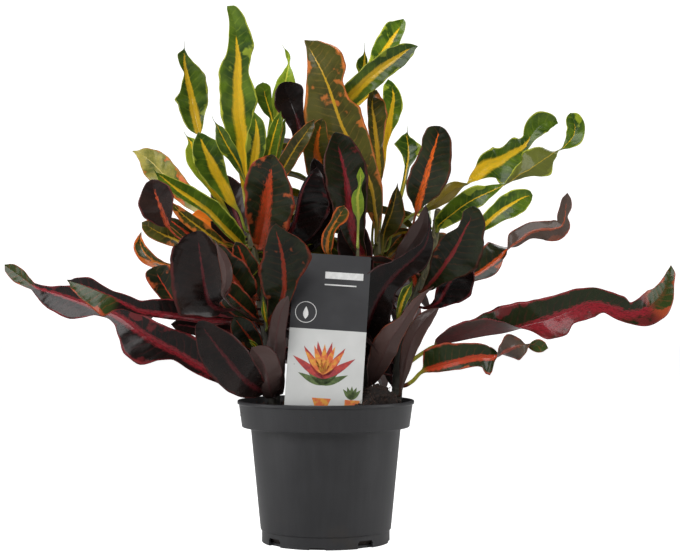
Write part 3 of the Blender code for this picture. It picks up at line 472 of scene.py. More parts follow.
        (102.2, 371.4, -62, (14, 21.5)), (105.8, 382.8, -63, (13, 18.5)), (108.7, 392.6, -64, (14, 15)),
        (110.5, 400.5, -64, (12.5, 10.5)), (112, 406.5, -64, 0)),
        rib=1.6, fade=0.97, warm=2, tone=1.35, patch=0.0),
    # Its underside is darkened by painted shade: back 0.55.
    Leaf("middle_leaf_07", MIDDLE, 297, LIME, (
        (75, 312, -4, 1.8, 160), (90, 322, -2, 2.5, 170), (100, 326, 0, 4, 175), (110.4, 333, 2, 6, 175),
        (118.5, 339.5, 5, 8, 175), (126.7, 345, 8, 7, 165), (134.9, 347.8, 10, 4, 130),
        (140, 350, 12, 3.5, 70), (145, 355, 14, (4.5, 5), 15), (149.6, 360, 16, (6, 8)),
        (159.4, 368, 19, (13, 17)), (169, 371, 21, (15.5, 23)), (177.4, 376.3, 23, (10.5, 20)),
        (187.2, 382, 26, (13, 12)), (193.7, 386, 28, (10, 5)), (198.5, 392, 30, (7, 5)),
        (204, 401, 32, (11, 8)), (211, 408, 34, (13, 10)), (219, 411, 35, 8), (225, 410, 36, 4),
        (228, 409, 36, 0)), rib=3.4, tone=1.15, fade=0.85, back=0.55),
    Leaf("middle_leaf_08", MIDDLE, 178, MAROON, (
        (38, 194, -22, 9), (42, 215, -36, (18, 20)), (50, 235, -43, (21, 18)), (60, 251, -50, (22, 12)),
        (74, 266, -57, 12), (88, 278, -63, (9, 14)), (97, 289, -68, (5, 9)), (101, 302, -72, (2.5, 4)),
        (101.5, 314, -75, 2), (99, 327, -78, 0)), rib=1.2, tone=0.5),
    Leaf("middle_leaf_09", MIDDLE, 152, PURPLE, (
        (45, 156, -20, 5), (49, 165, -30, (8, 10)), (53.5, 175, -40, (10, 13)), (58.5, 186, -50, (11, 15)),
        (66, 201, -60, (9.5, 12)), (73, 210, -66, (7.5, 8)), (79, 219, -71, (6.5, 5)),
        (87, 231, -75, (5, 4.5)), (97, 242.5, -79, (3, 2.5)), (106, 249, -82, 0)), roll=180),
    Leaf("middle_leaf_10", MIDDLE, 280, OLIVE, (
        (57, 300, -8, (4, 6)), (59.5, 309, -14, (4, 12)), (64, 320, -20, (5.5, 14)), (67, 331, -25, (5, 10)),
        (69, 341, -28, (3.5, 5)), (70, 347, -29, 1.8), (70.2, 350.5, -30, 0)), tone=0.55, rib=0.35),
    # Right stem
    Leaf("right_leaf_01", RIGHT, 302, LIME, (
        (110, 308, -12, (4, 5)), (115, 313, -15, (8.5, 7)), (124, 320, -18, (10.5, 9.5)),
        (136, 329, -22, (12, 10)), (148, 336, -25, (12, 9.5)), (160, 341.5, -26, (7, 6), 10),
        (172, 347, -27, 4.5, 60), (183, 354, -28, 5, 130), (192, 360, -28, (5, 9), 172),
        (198.6, 363, -28, (6.5, 12), 180), (205, 367.5, -28, (13, 18), 180), (213, 373, -26, 16, 180),
        (220, 377.5, -25, (6.5, 11.5), 190), (226, 381.5, -24, (3.5, 3), 240), (231, 384, -23, 2.5, 300),
        (237, 389.5, -22, (4.5, 6), 345), (243, 397, -21, (8.5, 10), 360), (244.5, 406, -20, (8.5, 9.5), 360),
        (242.5, 413, -19, (7.5, 8), 360), (240, 419.5, -18, 0, 360)), rib=0.15, tone=1.35, patch=1.6),
    Leaf("right_leaf_02", RIGHT, 290, LIME, (
        (125, 293, 4, 2), (142, 302, 10, 3), (152, 307, 12, 5), (160, 313, 15, (9, 7)),
        (168, 320, 17, (10, 9)), (177, 326.5, 18, 12), (186, 332, 19, (12, 12.5)), (193, 336, 20, (9.5, 11)),
        (199, 338, 20, (6, 7.5)), (203, 338.5, 20, 0)), fade=0.98, tone=1.7),
    # Its underside is lightened by painted light: back 1.15.
    Leaf("right_leaf_03", RIGHT, 276, RED_GREEN, (
        (125, 262, 3, 3), (138, 258, 4, 5), (148, 261.5, 5, (12, 7)), (158, 268, 6, (14, 10.5)),
        (166, 274, 7, (19, 8)), (172, 279, 8, (18, 4), 15), (179, 286, 8, 7, 90),
        (190, 294, 8, (4.5, 11.5), 172), (200, 301.5, 8, (6, 10), 180), (212, 305, 6, (10.5, 8.5), 180),
        (224, 305.5, 4, (12, 9), 180), (232, 309, 3, (9, 6), 180), (234.5, 318, 2, (3, 7.5), 180),
        (235.5, 327, 1, 6, 180), (236.5, 335, 0, 4.5, 180), (237, 341, 0, 0, 180)),
        rib=0.9, warm=1.5, tone=1.3, back=1.15),
    Leaf("right_leaf_04", RIGHT, 244, RED_GREEN, (
        (99, 248.5, -26, (4, 5)), (107.7, 258, -40, (8, 9)), (116, 269.4, -52, (14, 17)),
        (124.5, 282, -62, (18, 27)), (131.5, 294.6, -72, (16.5, 26)), (137, 306, -79, (7.5, 21)),
        (141.3, 313.5, -83, (8.5, 17)), (143.5, 320, -85, (9.5, 12)), (144.7, 325.5, -86, (5, 6)),
        (145, 328, -86, 0)), rib=0.9, fade=0.92, tone=0.8, green=0.3, patch=0.0, warm=0.2),
    Leaf("right_leaf_05", RIGHT, 231, RED_BLACK, (
        (98, 228, -18, 2.5), (104, 230, -22, 3.5), (110.5, 234, -26, (5, 7)), (116, 243, -32, (9, 17)),
        (122, 254, -36, (11, 24)), (129, 266, -40, (11, 19)), (135, 277, -42, (7, 11)), (139, 285, -42, 0)),
        rib=0.7, tone=0.6),
    Leaf("right_leaf_06", RIGHT, 143, PURPLE, (
        (74, 151, -23, 3), (76.5, 162, -26, 4.5), (79, 175, -28, (6, 6.5)), (82, 188, -30, 8),
        (87.5, 202, -32, (9, 8.5)), (95, 214, -32, 8.3), (103, 222, -31, 5.5), (111, 228, -29, 0)), roll=180),
    Leaf("right_leaf_07", RIGHT, 172, RED_BLACK, (
        (84, 176, -22, 2.3, 90, 58), (96, 184.5, -32, 2.2, 90, 58), (105, 190, -42, 2.5, 90, 58),
        (116, 193.5, -48, (9, 10), 90, 58), (127, 195.5, -54, (14, 15), 90, 58),
        (144, 199, -60, (17, 18.5), 88, 58), (158, 201.5, -65, (22, 19), 85, 58),
        (175, 204, -69, (25, 19), 66, 55), (187, 207, -71, (24, 19), 52, 42),
        (200, 211, -72, (23, 19), 38, 28), (214, 215.5, -73, (21.5, 20), 10, 10),
        (227, 221, -74, (20, 21), 0, 10), (238, 225, -74, (19, 13), 0, 10),
        (250, 229.5, -73, (18, 14), 0, 10), (262, 232.5, -72, (15.5, 13), 0, 10),
        (274, 231, -70, (13.5, 8), 0, 10), (285, 227, -68, (14, 9.5), 0, 10),
        (297, 224, -65, (9.5, 11.5), 0, 10), (309, 225.5, -61, (13, 16), 0, 10),
        (320, 231.5, -56, (14, 17), 0, 10), (329, 241, -50, (10, 12.5), 0, 10), (335, 253, -44, 6.5, 0, 10),
        (338, 263, -40, (4, 4.5), 0, 10), (338.5, 270, -38, 0, 0, 10)),
        rib=4.2, lean=0.62, wave=0.5, tone=1.05, green=0.9, fresh=0.14, patch=1.9, petiole=2.2),
    Leaf("right_leaf_08", RIGHT, 153, RED_GREEN, (
        (84, 155.5, -25, 2.3), (93, 164.5, -36, 2.4), (99, 167.5, -44, (7, 3)), (109, 170, -56, (20, 5)),
        (120, 173, -66, (22, 6.5)), (132, 176, -74, (19.5, 8)), (144, 178.5, -80, (16.5, 8)),
        (154, 179.5, -85, (13.5, 10)), (162, 179, -88, (11, 17), 5), (168, 180, -90, 8, 70),
        (176, 185, -91, (10, 9), 150), (184, 189, -92, 14, 180), (193, 191.5, -92, 9, 215),
        (200, 192.5, -92, (7, 6), 300), (208, 191, -92, (7, 6.5), 350), (218, 188.5, -92, 0, 360)),
        rib=1.6, tone=1.25, green=0.9, fresh=0.14, petiole=2.2),
    # Back stem and young shoot
    Leaf("back_leaf_01", BACK, 380, LIME, (
        (24, 420, 50, 3), (42, 446, 60, 8), (52, 466, 68, 11), (58, 480, 73, (12.5, 10)),
        (63, 489, 76, (13, 9.5)), (69, 498, 78, (13, 7)), (73.5, 505, 80, (9, 5)), (75.5, 510, 80, (4, 3)),
        (76, 512, 80, 0)), rib=2.6, tone=1.7),
    Leaf("back_leaf_02", BACK, 386, LIME, (
        (12, 424, 34, 4), (22, 433, 28, 9), (30.4, 441.5, 25, (12, 10.5)), (38.6, 449.7, 22, (11.5, 12)),
        (46.8, 457, 20, (12, 12.5)), (55, 463.6, 18, (11.5, 12)), (63, 469.3, 16, (12.5, 11.5)),
        (71.3, 475, 14, 11), (79.5, 480.8, 12, (8, 8.5)), (86, 484.2, 11, (3, 5)), (90.5, 485, 10, 0)),
        rib=2.2, tone=0.95),
    Leaf("young_leaf", SHOOT, 286, YOUNG, (
        (31.5, 300, -52, 1.6), (31.8, 312, -58, 2), (31.8, 318, -61, (3.2, 3.8)),
        (31.5, 326, -65, (5.5, 5.8)), (31, 334, -69, (6, 6.3)), (31.5, 340, -71, 5),
        (33, 346, -73, (2.5, 2.8)), (33.7, 351, -75, 3), (34, 357, -77, 4.2), (34, 362, -78, 3),
        (34, 366, -78, 0)), tone=0.85),
    # Leaves behind the plant
    Leaf("back_leaf_03", BACK, 362, RED_GREEN, (
        (-10, 376, 62, 3), (-22, 388, 86, 13), (-30, 390, 112, 17), (-38, 380, 140, 13), (-44, 364, 165, 0)),
        face="sky"),
    Leaf("back_leaf_04", BACK, 340, LIME, (
        (8, 352, 66, 3), (12, 352, 90, 14), (14, 342, 118, 18), (12, 324, 146, 13), (8, 302, 168, 0)),
        face="sky"),
    Leaf("back_leaf_05", BACK, 300, MAROON, (
        (8, 296, 70, 4), (12, 284, 100, 16), (14, 262, 130, 20), (14, 236, 156, 12), (14, 214, 172, 0)),
        face="sky"),
    Leaf("back_leaf_06", BACK, 275, RED_BLACK, (
        (-22, 282, 66, 4), (-46, 276, 92, 15), (-66, 262, 116, 18), (-82, 244, 136, 12), (-94, 226, 148, 0)),
        face="sky"),
    Leaf("back_leaf_07", MIDDLE, 240, RED_GREEN, (
        (56, 248, 34, 4), (64, 248, 62, 14), (68, 238, 92, 15), (68, 220, 116, 0)), face="sky"),
    Leaf("back_leaf_08", RIGHT, 262, OLIVE, (
        (106, 264, 20, 3), (115, 264, 48, 12), (121, 256, 78, 13), (124, 240, 106, 0)), face="sky"),
    Leaf("back_leaf_09", LEFT, 250, RED_GREEN, (
        (-78, 256, 26, 3), (-90, 258, 56, 14), (-98, 250, 88, 17), (-104, 232, 118, 11), (-108, 212, 136, 0)),
        face="sky"),
)
print("leaves with a solid:", len(LEAVES))

# %% [markdown]
# ## Small leaves
# Between the big leaves a plant carries small and crowded ones, and some margins and stalks that fold over
# are made as leaves too. They have no solid of their own.

# %% Small leaves
SMALL_LEAVES = (
    Leaf("left_small_leaf_01", LEFT, 298, LIME, (
        (-96, 322, 0, 1.6), (-104, 335, 1, 4), (-113, 350, 2, (6, 9)), (-121, 362, 2, (8, 11)),
        (-127, 373, 2, (9.5, 12)), (-130, 383, 2, (8, 11)), (-133, 391, 2, (2.5, 6)), (-137, 397, 2, 0)),
        awn=6, tone=1.25, patch=3.2, rib=1.6),
    Leaf("left_small_leaf_02", LEFT, 326, LIME, (
        (-66, 355, 14, 3), (-51, 395, 18, 3), (-53, 414, 19, 3), (-56, 424, 18, (7, 4)),
        (-59, 434, 18, (9, 6)), (-61, 443, 16, (9, 7)), (-62, 449.5, 15, 0)), tone=1.4, rib=0.5),
    Leaf("left_small_leaf_03", LEFT, 318, LIME, (
        (-64, 345, -8, 3), (-56, 378, -14, 7, -10), (-50, 402, -16, 6, -10), (-44, 421, -16, 0)),
        tone=1.4, rib=0.5),
    Leaf("left_small_leaf_04", LEFT, 312, LIME, (
        (-58, 345, -2, 3), (-50, 375, -6, 5, 10), (-44, 398, -8, 4.5, 10), (-40, 414, -8, 0))),
    Leaf("left_small_leaf_05", LEFT, 282, ORANGE, (
        (-90, 294, 4, 3), (-107, 308, 0, 8), (-119, 316, -4, 8.5), (-131, 320, -6, 0)), tone=1.7, patch=5.5),
    Leaf("left_small_leaf_06", LEFT, 277, MAROON, (
        (-88, 288, -6, 5), (-98, 299, -14, 9.5), (-107, 308, -18, 6), (-113, 313, -20, 0))),
    Leaf("left_small_leaf_07", LEFT, 268, RED_GREEN, (
        (-95, 278, -12, 3), (-120, 291, -26, 6), (-138, 303, -36, 8.5), (-150, 312, -42, 5),
        (-157, 317, -44, 0)), tone=2.2, patch=2.0),
    Leaf("left_small_leaf_08", LEFT, 236, RED_GREEN, (
        (-71, 248, -20, 8), (-77, 265, -26, 13), (-83, 281, -30, 9), (-88, 293, -30, 0))),
    Leaf("left_small_leaf_09", LEFT, 150, MAROON, (
        (-47, 144, -40, 5), (-48, 155, -52, 8), (-49, 168, -62, 9), (-49, 182, -70, 9.5),
        (-48, 200, -82, 8.5), (-45, 220, -84, 8), (-37, 240, -84, 0)), tone=0.8, roll=180),
    Leaf("left_small_leaf_10", LEFT, 198, MAROON, (
        (-90, 204, -22, 6), (-120, 208, -40, 8.5), (-140, 211, -50, 7), (-152, 212, -54, 0)), tone=1.2),
    Leaf("left_small_leaf_11", LEFT, 186, RED_GREEN, (
        (-72, 196, -34, 9), (-82, 208, -46, 12), (-90, 219, -52, 0)), tone=0.8, rib=0.5),
    Leaf("left_small_leaf_12", LEFT, 258, MAROON, (
        (-45, 272, -14, 4), (-25, 288, -20, 10), (-10, 305, -26, 15), (-4, 325, -30, 18), (-4, 345, -32, 15),
        (-8, 362, -32, 8), (-12, 375, -32, 0)), patch=0.0, rib=0.4, tone=0.6),
    Leaf("left_small_leaf_13", LEFT, 300, OLIVE, (
        (-62, 325, -20, 2.5), (-50, 350, -30, 5), (-40, 368, -38, 8), (-28, 388, -45, 8.5),
        (-18, 402, -47, 6), (-11, 413, -47, 0)), tone=0.8, rib=0.5),
    Leaf("back_small_leaf_01", BACK, 325, OLIVE, (
        (-6, 350, 0, 7), (-8, 370, -12, 12.5), (-9, 390, -26, 13), (-6, 404, -34, 8), (-3, 414, -37, 0)),
        warm=1.8, rib=2.6),
    Leaf("left_small_leaf_15", LEFT, 156, MAROON, (
        (-58, 166, 0, 8), (-64, 184, 10, 18), (-70, 206, 18, 23), (-76, 228, 22, 22), (-82, 248, 22, 12),
        (-86, 262, 20, 0)), tone=0.8),
    Leaf("left_small_leaf_16", LEFT, 196, MAROON, (
        (-70, 204, 8, 7), (-86, 214, 12, 13), (-104, 221, 12, 13), (-124, 224, 10, 9), (-140, 224, 8, 0)),
        tone=2.4),
    Leaf("left_small_leaf_17", LEFT, 226, RED_GREEN, (
        (-72, 238, 10, 6), (-82, 254, 14, 15), (-94, 272, 16, 19), (-106, 288, 16, 12), (-114, 300, 14, 0)),
        tone=1.2, rib=0.8),
    Leaf("left_small_leaf_14", LEFT, 212, RED_GREEN, (
        (-70, 219, -30, 5), (-79, 227, -40, 10), (-89, 236, -50, 13), (-98, 244, -58, 13),
        (-106, 251, -64, 8), (-111, 256, -66, 0)), rib=0.4, tone=1.3),
    Leaf("middle_small_leaf_01", MIDDLE, 230, MAROON, (
        (38, 245, -12, (10, 8)), (31, 270, -18, (17, 16)), (28, 288, -20, 17), (26, 300, -20, 15),
        (24, 311, -20, 9), (23, 319, -20, 0)), rib=1.6),
    Leaf("middle_small_leaf_02", MIDDLE, 236, PURPLE, (
        (60, 250, -18, 3), (70, 268, -36, 6), (80, 285, -50, 10), (90, 300, -60, (11, 10)), (96, 314, -66, 6),
        (98, 329, -70, 0)), tone=0.45, roll=180),
    Leaf("young_small_leaf", SHOOT, 255, ORANGE, (
        (8, 274, -48, 3), (1.5, 284, -54, (4, 4.5)), (1.5, 291, -58, 6), (2.5, 298, -61, (6.5, 6)),
        (5, 305, -64, 5), (9, 312, -66, (4.5, 6)), (13, 318, -68, (6.5, 9)), (16, 323, -69, (6.5, 7.5)),
        (18, 328.5, -69, 0)), tip=1.4),
    Leaf("back_small_leaf_02", BACK, 380, LIME, (
        (22, 425, 50, 2), (32, 448, 50, 2.5), (36.5, 458, 50, (5, 3.5)), (37.5, 465, 50, (8, 3.5)),
        (38, 471, 49, (7, 3)), (38, 477, 48, (2.5, 2)), (38, 481, 48, 0)), awn=8, tone=0.8),
    # A real leaf in the gap between middle_leaf_09 and the right stem, made near black by tone 0.3 as painted
    # shade for the deep shade there.
    Leaf("right_small_leaf_02", RIGHT, 146, MAROON, (
        (67, 150, 22, 3), (64, 166, 27, 7), (61.5, 184, 31, 8.5), (61, 202, 33, 6), (62, 219, 34, 0)),
        tone=0.3),
    Leaf("right_small_leaf_01", RIGHT, 205, LIME, (
        (70, 215, -40, 1.6), (72, 224, -50, 3.5), (75, 234, -57, 4.5), (79, 243, -60, (5.5, 5)),
        (83, 250, -62, (3, 2.5)), (85, 254.5, -62, 0)), rib=0.8, tone=0.8),
    Leaf("left_small_leaf_18", LEFT, 215, PURPLE, (
        (-84, 225, -60, 1.6), (-96, 234, -104, 2), (-100.5, 243, -125, (3, 3.5)), (-98, 252, -133, (5.5, 5)),
        (-97.5, 264, -137, 6), (-101, 277, -138, 5), (-106, 288, -137, 2.5), (-109, 294, -135, 0)),
        fold=24, tone=0.85, roll=180),
    Leaf("left_small_leaf_19", LEFT, 206, LIME, (
        (-58, 213, -50, 1.6), (-59.5, 219, -60, 3), (-60.5, 226, -66, 3.4), (-61, 233, -70, 2.4),
        (-61.5, 239, -72, 0)), rib=0.6, tone=1.1),
    Leaf("left_small_leaf_20", LEFT, 180, LIME, (
        (-64, 186, -44, 1.6), (-67, 189, -54, 3), (-71, 193, -60, 3), (-75.5, 197, -64, 0)),
        rib=0.6, tone=1.1),
)
print("small leaves:", len(SMALL_LEAVES))

# %% [markdown]
# ## Smooth routes
# A blade must run smoothly through its stations, but its width must never swing below nothing between them.
# So places use a free cubic and widths, rolls and folds use one whose slopes are held back.

# %% Curves through stations
FLAT = 1e-9


def slopes(knots, values, limited):
    step = np.diff(knots)
    rate = np.diff(values) / step
    inner = (step[1:] * rate[:-1] + step[:-1] * rate[1:]) / (step[1:] + step[:-1])
    if limited:
        product = rate[:-1] * rate[1:]
        total = rate[:-1] + rate[1:]
        safe = np.where(np.abs(total) < FLAT, 1.0, total)
        inner = np.where(product > 0, 2 * product / safe, 0.0)
    return np.concatenate([rate[:1], inner, rate[-1:]])


def smooth(knots, values, places, limited=False):
    """Values at the places on a cubic curve through the knots."""
    values = np.asarray(values, float)
    if values.ndim == 2:
        return np.stack([smooth(knots, column, places, limited) for column in values.T], axis=-1)
    index = np.clip(np.searchsorted(knots, places, side="right") - 1, 0, len(knots) - 2)
    span = knots[index + 1] - knots[index]
    u = (places - knots[index]) / span
    slope = slopes(knots, values, limited)
    low, high = slope[index] * span, slope[index + 1] * span
    rise = values[index + 1] - values[index]
    return values[index] + u * low + u * u * (3 * rise - 2 * low - high) + u ** 3 * (low + high - 2 * rise)


def unit(vectors):
    return vectors / np.linalg.norm(vectors, axis=-1, keepdims=True)


def stem_centre(stem, height):
    route = np.array(stem.route, float)
    return smooth(route[:, 2], route, np.atleast_1d(float(height)))[0]


def stem_radius(stem, height):
    low, top = stem.route[0][2], stem.route[-1][2]
    return stem.low_radius + (stem.top_radius - stem.low_radius) * (height - low) / (top - low)


def half_widths(half):
    """One half width as a (left, right) pair."""
    return half if isinstance(half, tuple) else (half, half)


def leaf_route(leaf):
    """Middle points, left and right half widths, rolls and folds from the stalk's foot to the tip."""
    stem = STEMS[leaf.stem]
    viewer = np.array(VIEWER)
    stations = np.array([station[:3] for station in leaf.stations], float)
    halves = np.array([half_widths(station[3]) for station in leaf.stations], float)
    seen = np.stack([stations[:, 0], np.zeros(len(stations)), stations[:, 1]], axis=1)
    scale = (stations[:, 2] - viewer[1]) / -viewer[1]
    points = viewer + (seen - viewer) * scale[:, None]
    centre = stem_centre(stem, leaf.height)
    upward = unit(stem_centre(stem, leaf.height + 1) - centre)
    outward = points[0] - centre
    outward = unit(outward - upward * outward.dot(upward))
    foot = centre + outward * (stem_radius(stem, leaf.height) + TOUCH)
    points = np.vstack([foot, foot + outward * LEAD_OUT, points])
    widths = np.vstack([[(leaf.petiole, leaf.petiole)] * 2, halves * scale[:, None]])
    rolls = [station[4] if len(station) > 4 else leaf.roll for station in leaf.stations]
    folds = [station[5] if len(station) > 5 else leaf.fold for station in leaf.stations]
    return points, widths, np.array(rolls[:1] * 2 + rolls, float), np.array([folds[0]] * 2 + folds, float)


print("first leaf's route:", np.round(leaf_route(LEAVES[0])[0][-1]))

# %% [markdown]
# ## Leaves that close the plant at the back
# A photo from the front says nothing of these, but a croton is bushy all round. They are plain arching
# leaves, so a stem, a height, a direction and a length say enough, and a function works out the stations.

# %% Leaves at the back
SPRAY_HEIGHTS = {
    BACK: range(159, 385, 9),
    LEFT: range(155, 324, 12),
    MIDDLE: range(155, 288, 12),
    RIGHT: (*range(162, 259, 12), *range(282, 307, 12)),
}
# Azimuth, length and finish of each leaf, from the lowest up
SPRAYS = {
    BACK: (
        (156, 108, RED_BLACK), (41, 122, MAROON), (71, 146, PURPLE),
        (189, 138, MAROON), (351, 104, RED_BLACK), (115, 144, MAROON),
        (175, 133, PURPLE), (47, 158, MAROON), (183, 160, OLIVE),
        (41, 142, RED_BLACK), (90, 140, MAROON), (173, 136, LIME),
        (10, 128, LIME), (129, 157, OLIVE), (153, 120, LIME),
        (108, 147, RED_GREEN), (192, 158, LIME), (9, 110, LIME),
        (113, 147, OLIVE), (182, 101, LIME), (56, 101, RED_GREEN),
        (164, 124, LIME), (63, 90, LIME), (76, 119, OLIVE),
        (193, 103, LIME), (64, 104, RED_GREEN)),
    LEFT: (
        (125, 84, MAROON), (137, 85, RED_BLACK), (41, 161, MAROON),
        (87, 155, PURPLE), (345, 126, MAROON), (79, 150, RED_BLACK),
        (171, 138, MAROON), (354, 149, MAROON), (135, 154, RED_GREEN),
        (155, 119, LIME), (48, 162, LIME), (143, 113, OLIVE),
        (357, 129, LIME), (94, 148, RED_GREEN), (105, 123, LIME)),
    MIDDLE: (
        (75, 81, MAROON), (195, 141, RED_BLACK), (68, 94, MAROON),
        (123, 163, PURPLE), (166, 133, MAROON), (67, 136, RED_BLACK),
        (169, 147, MAROON), (46, 91, MAROON), (74, 149, RED_GREEN),
        (190, 151, LIME), (46, 149, OLIVE), (147, 146, LIME)),
    RIGHT: (
        (168, 124, RED_BLACK), (180, 119, MAROON), (108, 157, PURPLE),
        (191, 128, MAROON), (90, 108, RED_BLACK), (143, 160, MAROON),
        (180, 121, MAROON), (95, 147, RED_GREEN), (192, 124, RED_GREEN),
        (108, 153, LIME), (158, 68, OLIVE), (111, 138, LIME)),
}
SPRAY_STEPS = 7
SPRAY_START = 0.1
SPRAY_REACH = 0.8
SPRAY_RISE = 0.75
SPRAY_DROOP = 0.95
SPRAY_HALF = 0.125
SPRAY_SWELL = 1.15
SPRAY_FULLNESS = 0.8
SPRAY_NARROWEST = 2.0
SPRAY_CURL = 16
# Lowest value, step and number of steps of what differs from leaf to leaf
SPRAY_LOOKS = {"fold": (14, 3, 4), "rib": (1.2, 0.25, 4), "wave": (0.8, 0.1, 5), "tone": (0.9, 0.12, 3),
               "patch": (0.8, 0.2, 4)}


def spray_stations(foot, azimuth, length):
    """An arching leaf as stations, each where a viewer in front sees that point of it."""
    viewer = np.array(VIEWER)
    outward = np.array([math.cos(math.radians(azimuth)), math.sin(math.radians(azimuth)), 0.0])
    stations = []
    for step in range(1, SPRAY_STEPS + 1):
        share = step / SPRAY_STEPS
        rise = SPRAY_RISE * share - SPRAY_DROOP * share ** 2
        arch = outward * (SPRAY_START + SPRAY_REACH * share) + np.array([0, 0, rise * SPRAY_REACH])
        point = foot + length * arch
        across, _, up = viewer + (point - viewer) * (viewer[1] / (viewer[1] - point[1]))
        half = length * SPRAY_HALF * math.sin(math.pi * share ** SPRAY_SWELL) ** SPRAY_FULLNESS
        half = max(half, SPRAY_NARROWEST) if step < SPRAY_STEPS else 0
        stations.append((across, up, point[1], half))
    return tuple(stations)


def spray_leaves():
    leaves = []
    for stem, sprays in SPRAYS.items():
        for height, (azimuth, length, finish) in zip(SPRAY_HEIGHTS[stem], sprays):
            index = len(leaves)
            looks = {field: low + step * (index % steps) for field, (low, step, steps) in SPRAY_LOOKS.items()}
            stations = spray_stations(stem_centre(STEMS[stem], height), azimuth, length)
            leaves.append(Leaf(f"spray_leaf_{index + 1:02d}", stem, height, finish, stations,
                               curl=SPRAY_CURL, face="sky", **looks))
    return leaves


SPRAY_LEAVES = spray_leaves()
print("leaves that fill the back:", len(SPRAY_LEAVES))

# %% [markdown]
# ## The shape of a leaf
# A croton leaf is a stiff, thin blade with a deep groove over its midrib, a round rib below, puckered cells
# between the side veins and a margin that waves. It could be a flat plane that a modifier bends, but here
# every leaf twists its own way. So each is lofted: rings of points run over the upper face and back under
# the lower one, and at the stalk and at the tip's fine awn the same ring closes to a round thread.
# The ring's points carry where they lie on the leaf, and the finishes read that.

# %% Leaf loft
RING_STEP = 2.3
FEWEST_RINGS = 26
TIP_CROWDING = 1.3
LOOK_AHEAD = 0.5
FACINGS = {"front": (0.0, -1.0, 0.0), "sky": (0.0, 0.0, 1.0)}
NARROWEST = 0.02
RING_HALF = 12
RIB_CROWDING = 1.25
AWN_RISE = 0.5
AWN_SHARES = (0.35, 0.65)
AWN_HALVES = ((0.9, 0.9), (0.3, 0.3), (0.12, 0.12))


def ring_shape():
    """Across share and face (+1 upper, -1 lower, 0 margin) of each point around a ring."""
    share = np.linspace(-1, 1, 2 * RING_HALF + 1)
    share = np.sign(share) * np.abs(share) ** RIB_CROWDING
    upper = np.ones(len(share))
    upper[[0, -1]] = 0
    return np.concatenate([share, share[-2:0:-1]]), np.concatenate([upper, -np.ones(len(share) - 2)])


def with_awn(points, widths, rolls, folds, length):
    """The route carried on past the tip as a fine hair that leans upward."""
    ahead = unit(points[-1] - points[-2])
    bend = unit(ahead + np.array([0.0, 0.0, AWN_RISE]))
    first = points[-1] + ahead * length * AWN_SHARES[0]
    points = np.vstack([points, first, first + bend * length * AWN_SHARES[1]])
    rolls, folds = [np.append(values, [values[-1]] * 2) for values in (rolls, folds)]
    return points, np.vstack([widths[:-1], AWN_HALVES]), rolls, folds


def ring_places(whole):
    """How far along the leaf each ring lies. They crowd towards the tip."""
    count = max(FEWEST_RINGS, int(whole / RING_STEP))
    return whole * (1 - (1 - np.linspace(0, 1, count)) ** TIP_CROWDING)


def ring_frames(leaf, knots, points, rolls, places):
    """The midrib's point, the direction across the blade and the one out of its upper face, for each ring."""
    middle = smooth(knots, points, places)
    after = smooth(knots, points, np.minimum(places + LOOK_AHEAD, knots[-1]))
    ahead = unit(after - smooth(knots, points, places - LOOK_AHEAD))
    side = unit(np.cross(ahead, FACINGS[leaf.face]))
    normal = np.cross(side, ahead)
    roll = np.radians(smooth(knots, rolls, places, True))[:, None]
    side, normal = side * np.cos(roll) + normal * np.sin(roll), normal * np.cos(roll) - side * np.sin(roll)
    return middle, side, normal


def ring_halves(leaf, knots, widths, places):
    """Left and right half width of each ring. Blending powers of them makes the tip blunt."""
    halves = smooth(knots, widths ** leaf.tip, places, True)
    return np.maximum(halves, NARROWEST) ** (1 / leaf.tip)


print("points in a ring:", len(ring_shape()[0]))

# %% The blade's relief
BLADE = 0.22
MARGIN_THINNING = 6
GROOVE = 0.35
RIB_RIDGE = 0.9
RIB_AT_TIP = 0.25
RIB_SPREAD = 1.3
VEIN_STEP = 7.5
VEIN_SLANT = 0.6
VEIN_STAGGER = 0.35
PUCKER = 0.15
PUCKER_ONSET = 5.0
PUCKER_FALL = 4
RUFFLE = 0.055
RUFFLE_STEP = 44.0
RUFFLE_ONSET = 2.4
RUFFLE_QUICK = (2.3, 0.5)
OUTLINE_WAVER = 0.02
WAVER_SLOW = 1.7
WAVER_QUICK = (3.3, 0.7)


def foreshortening(leaf):
    """How much wider a folded, curled half blade is than the width it shows from above."""
    start = math.radians(leaf.fold)
    bend = math.radians(max(leaf.curl, 1))
    return bend / (math.sin(start + bend) - math.sin(start))


def outline_waves(turn, sign, phase):
    """Uneven waves in and out along each margin."""
    rate, share = WAVER_QUICK
    slow = np.sin(turn * WAVER_SLOW + phase[0] + sign * phase[1])
    return slow + share * np.sin(turn * rate + phase[2] + sign * phase[3])


def ruffle_waves(turn, sign, phase):
    """Uneven waves up and down along each margin."""
    rate, share = RUFFLE_QUICK
    slow = np.sin(turn + phase[4] * 2 + sign * (1 + phase[5]))
    return slow + share * np.sin(turn * rate + phase[5] - sign)


def puckers(along, off_rib, share, sign):
    """Each cell between two side veins stands up a little."""
    vein = (along - VEIN_SLANT * off_rib) / VEIN_STEP
    cell = 0.5 - 0.5 * np.cos(math.tau * (vein + VEIN_STAGGER * (sign > 0)))
    return PUCKER * cell * np.clip(off_rib / PUCKER_ONSET, 0, 1) * (1 - share ** PUCKER_FALL)


def faces_apart(off_rib, share, face, fade):
    """How far the upper face, with its groove, and the lower one, with its rib, lie from the middle sheet."""
    thick = BLADE * (1 - share ** MARGIN_THINNING)
    rib = np.exp(-((off_rib / RIB_SPREAD) ** 2))
    over = thick - GROOVE * rib * fade
    below = -thick - RIB_RIDGE * rib * (RIB_AT_TIP + (1 - RIB_AT_TIP) * fade)
    return np.where(face > 0, over, np.where(face < 0, below, 0))


print("the first leaf is wider than it looks by a factor of", round(foreshortening(LEAVES[0]), 3))

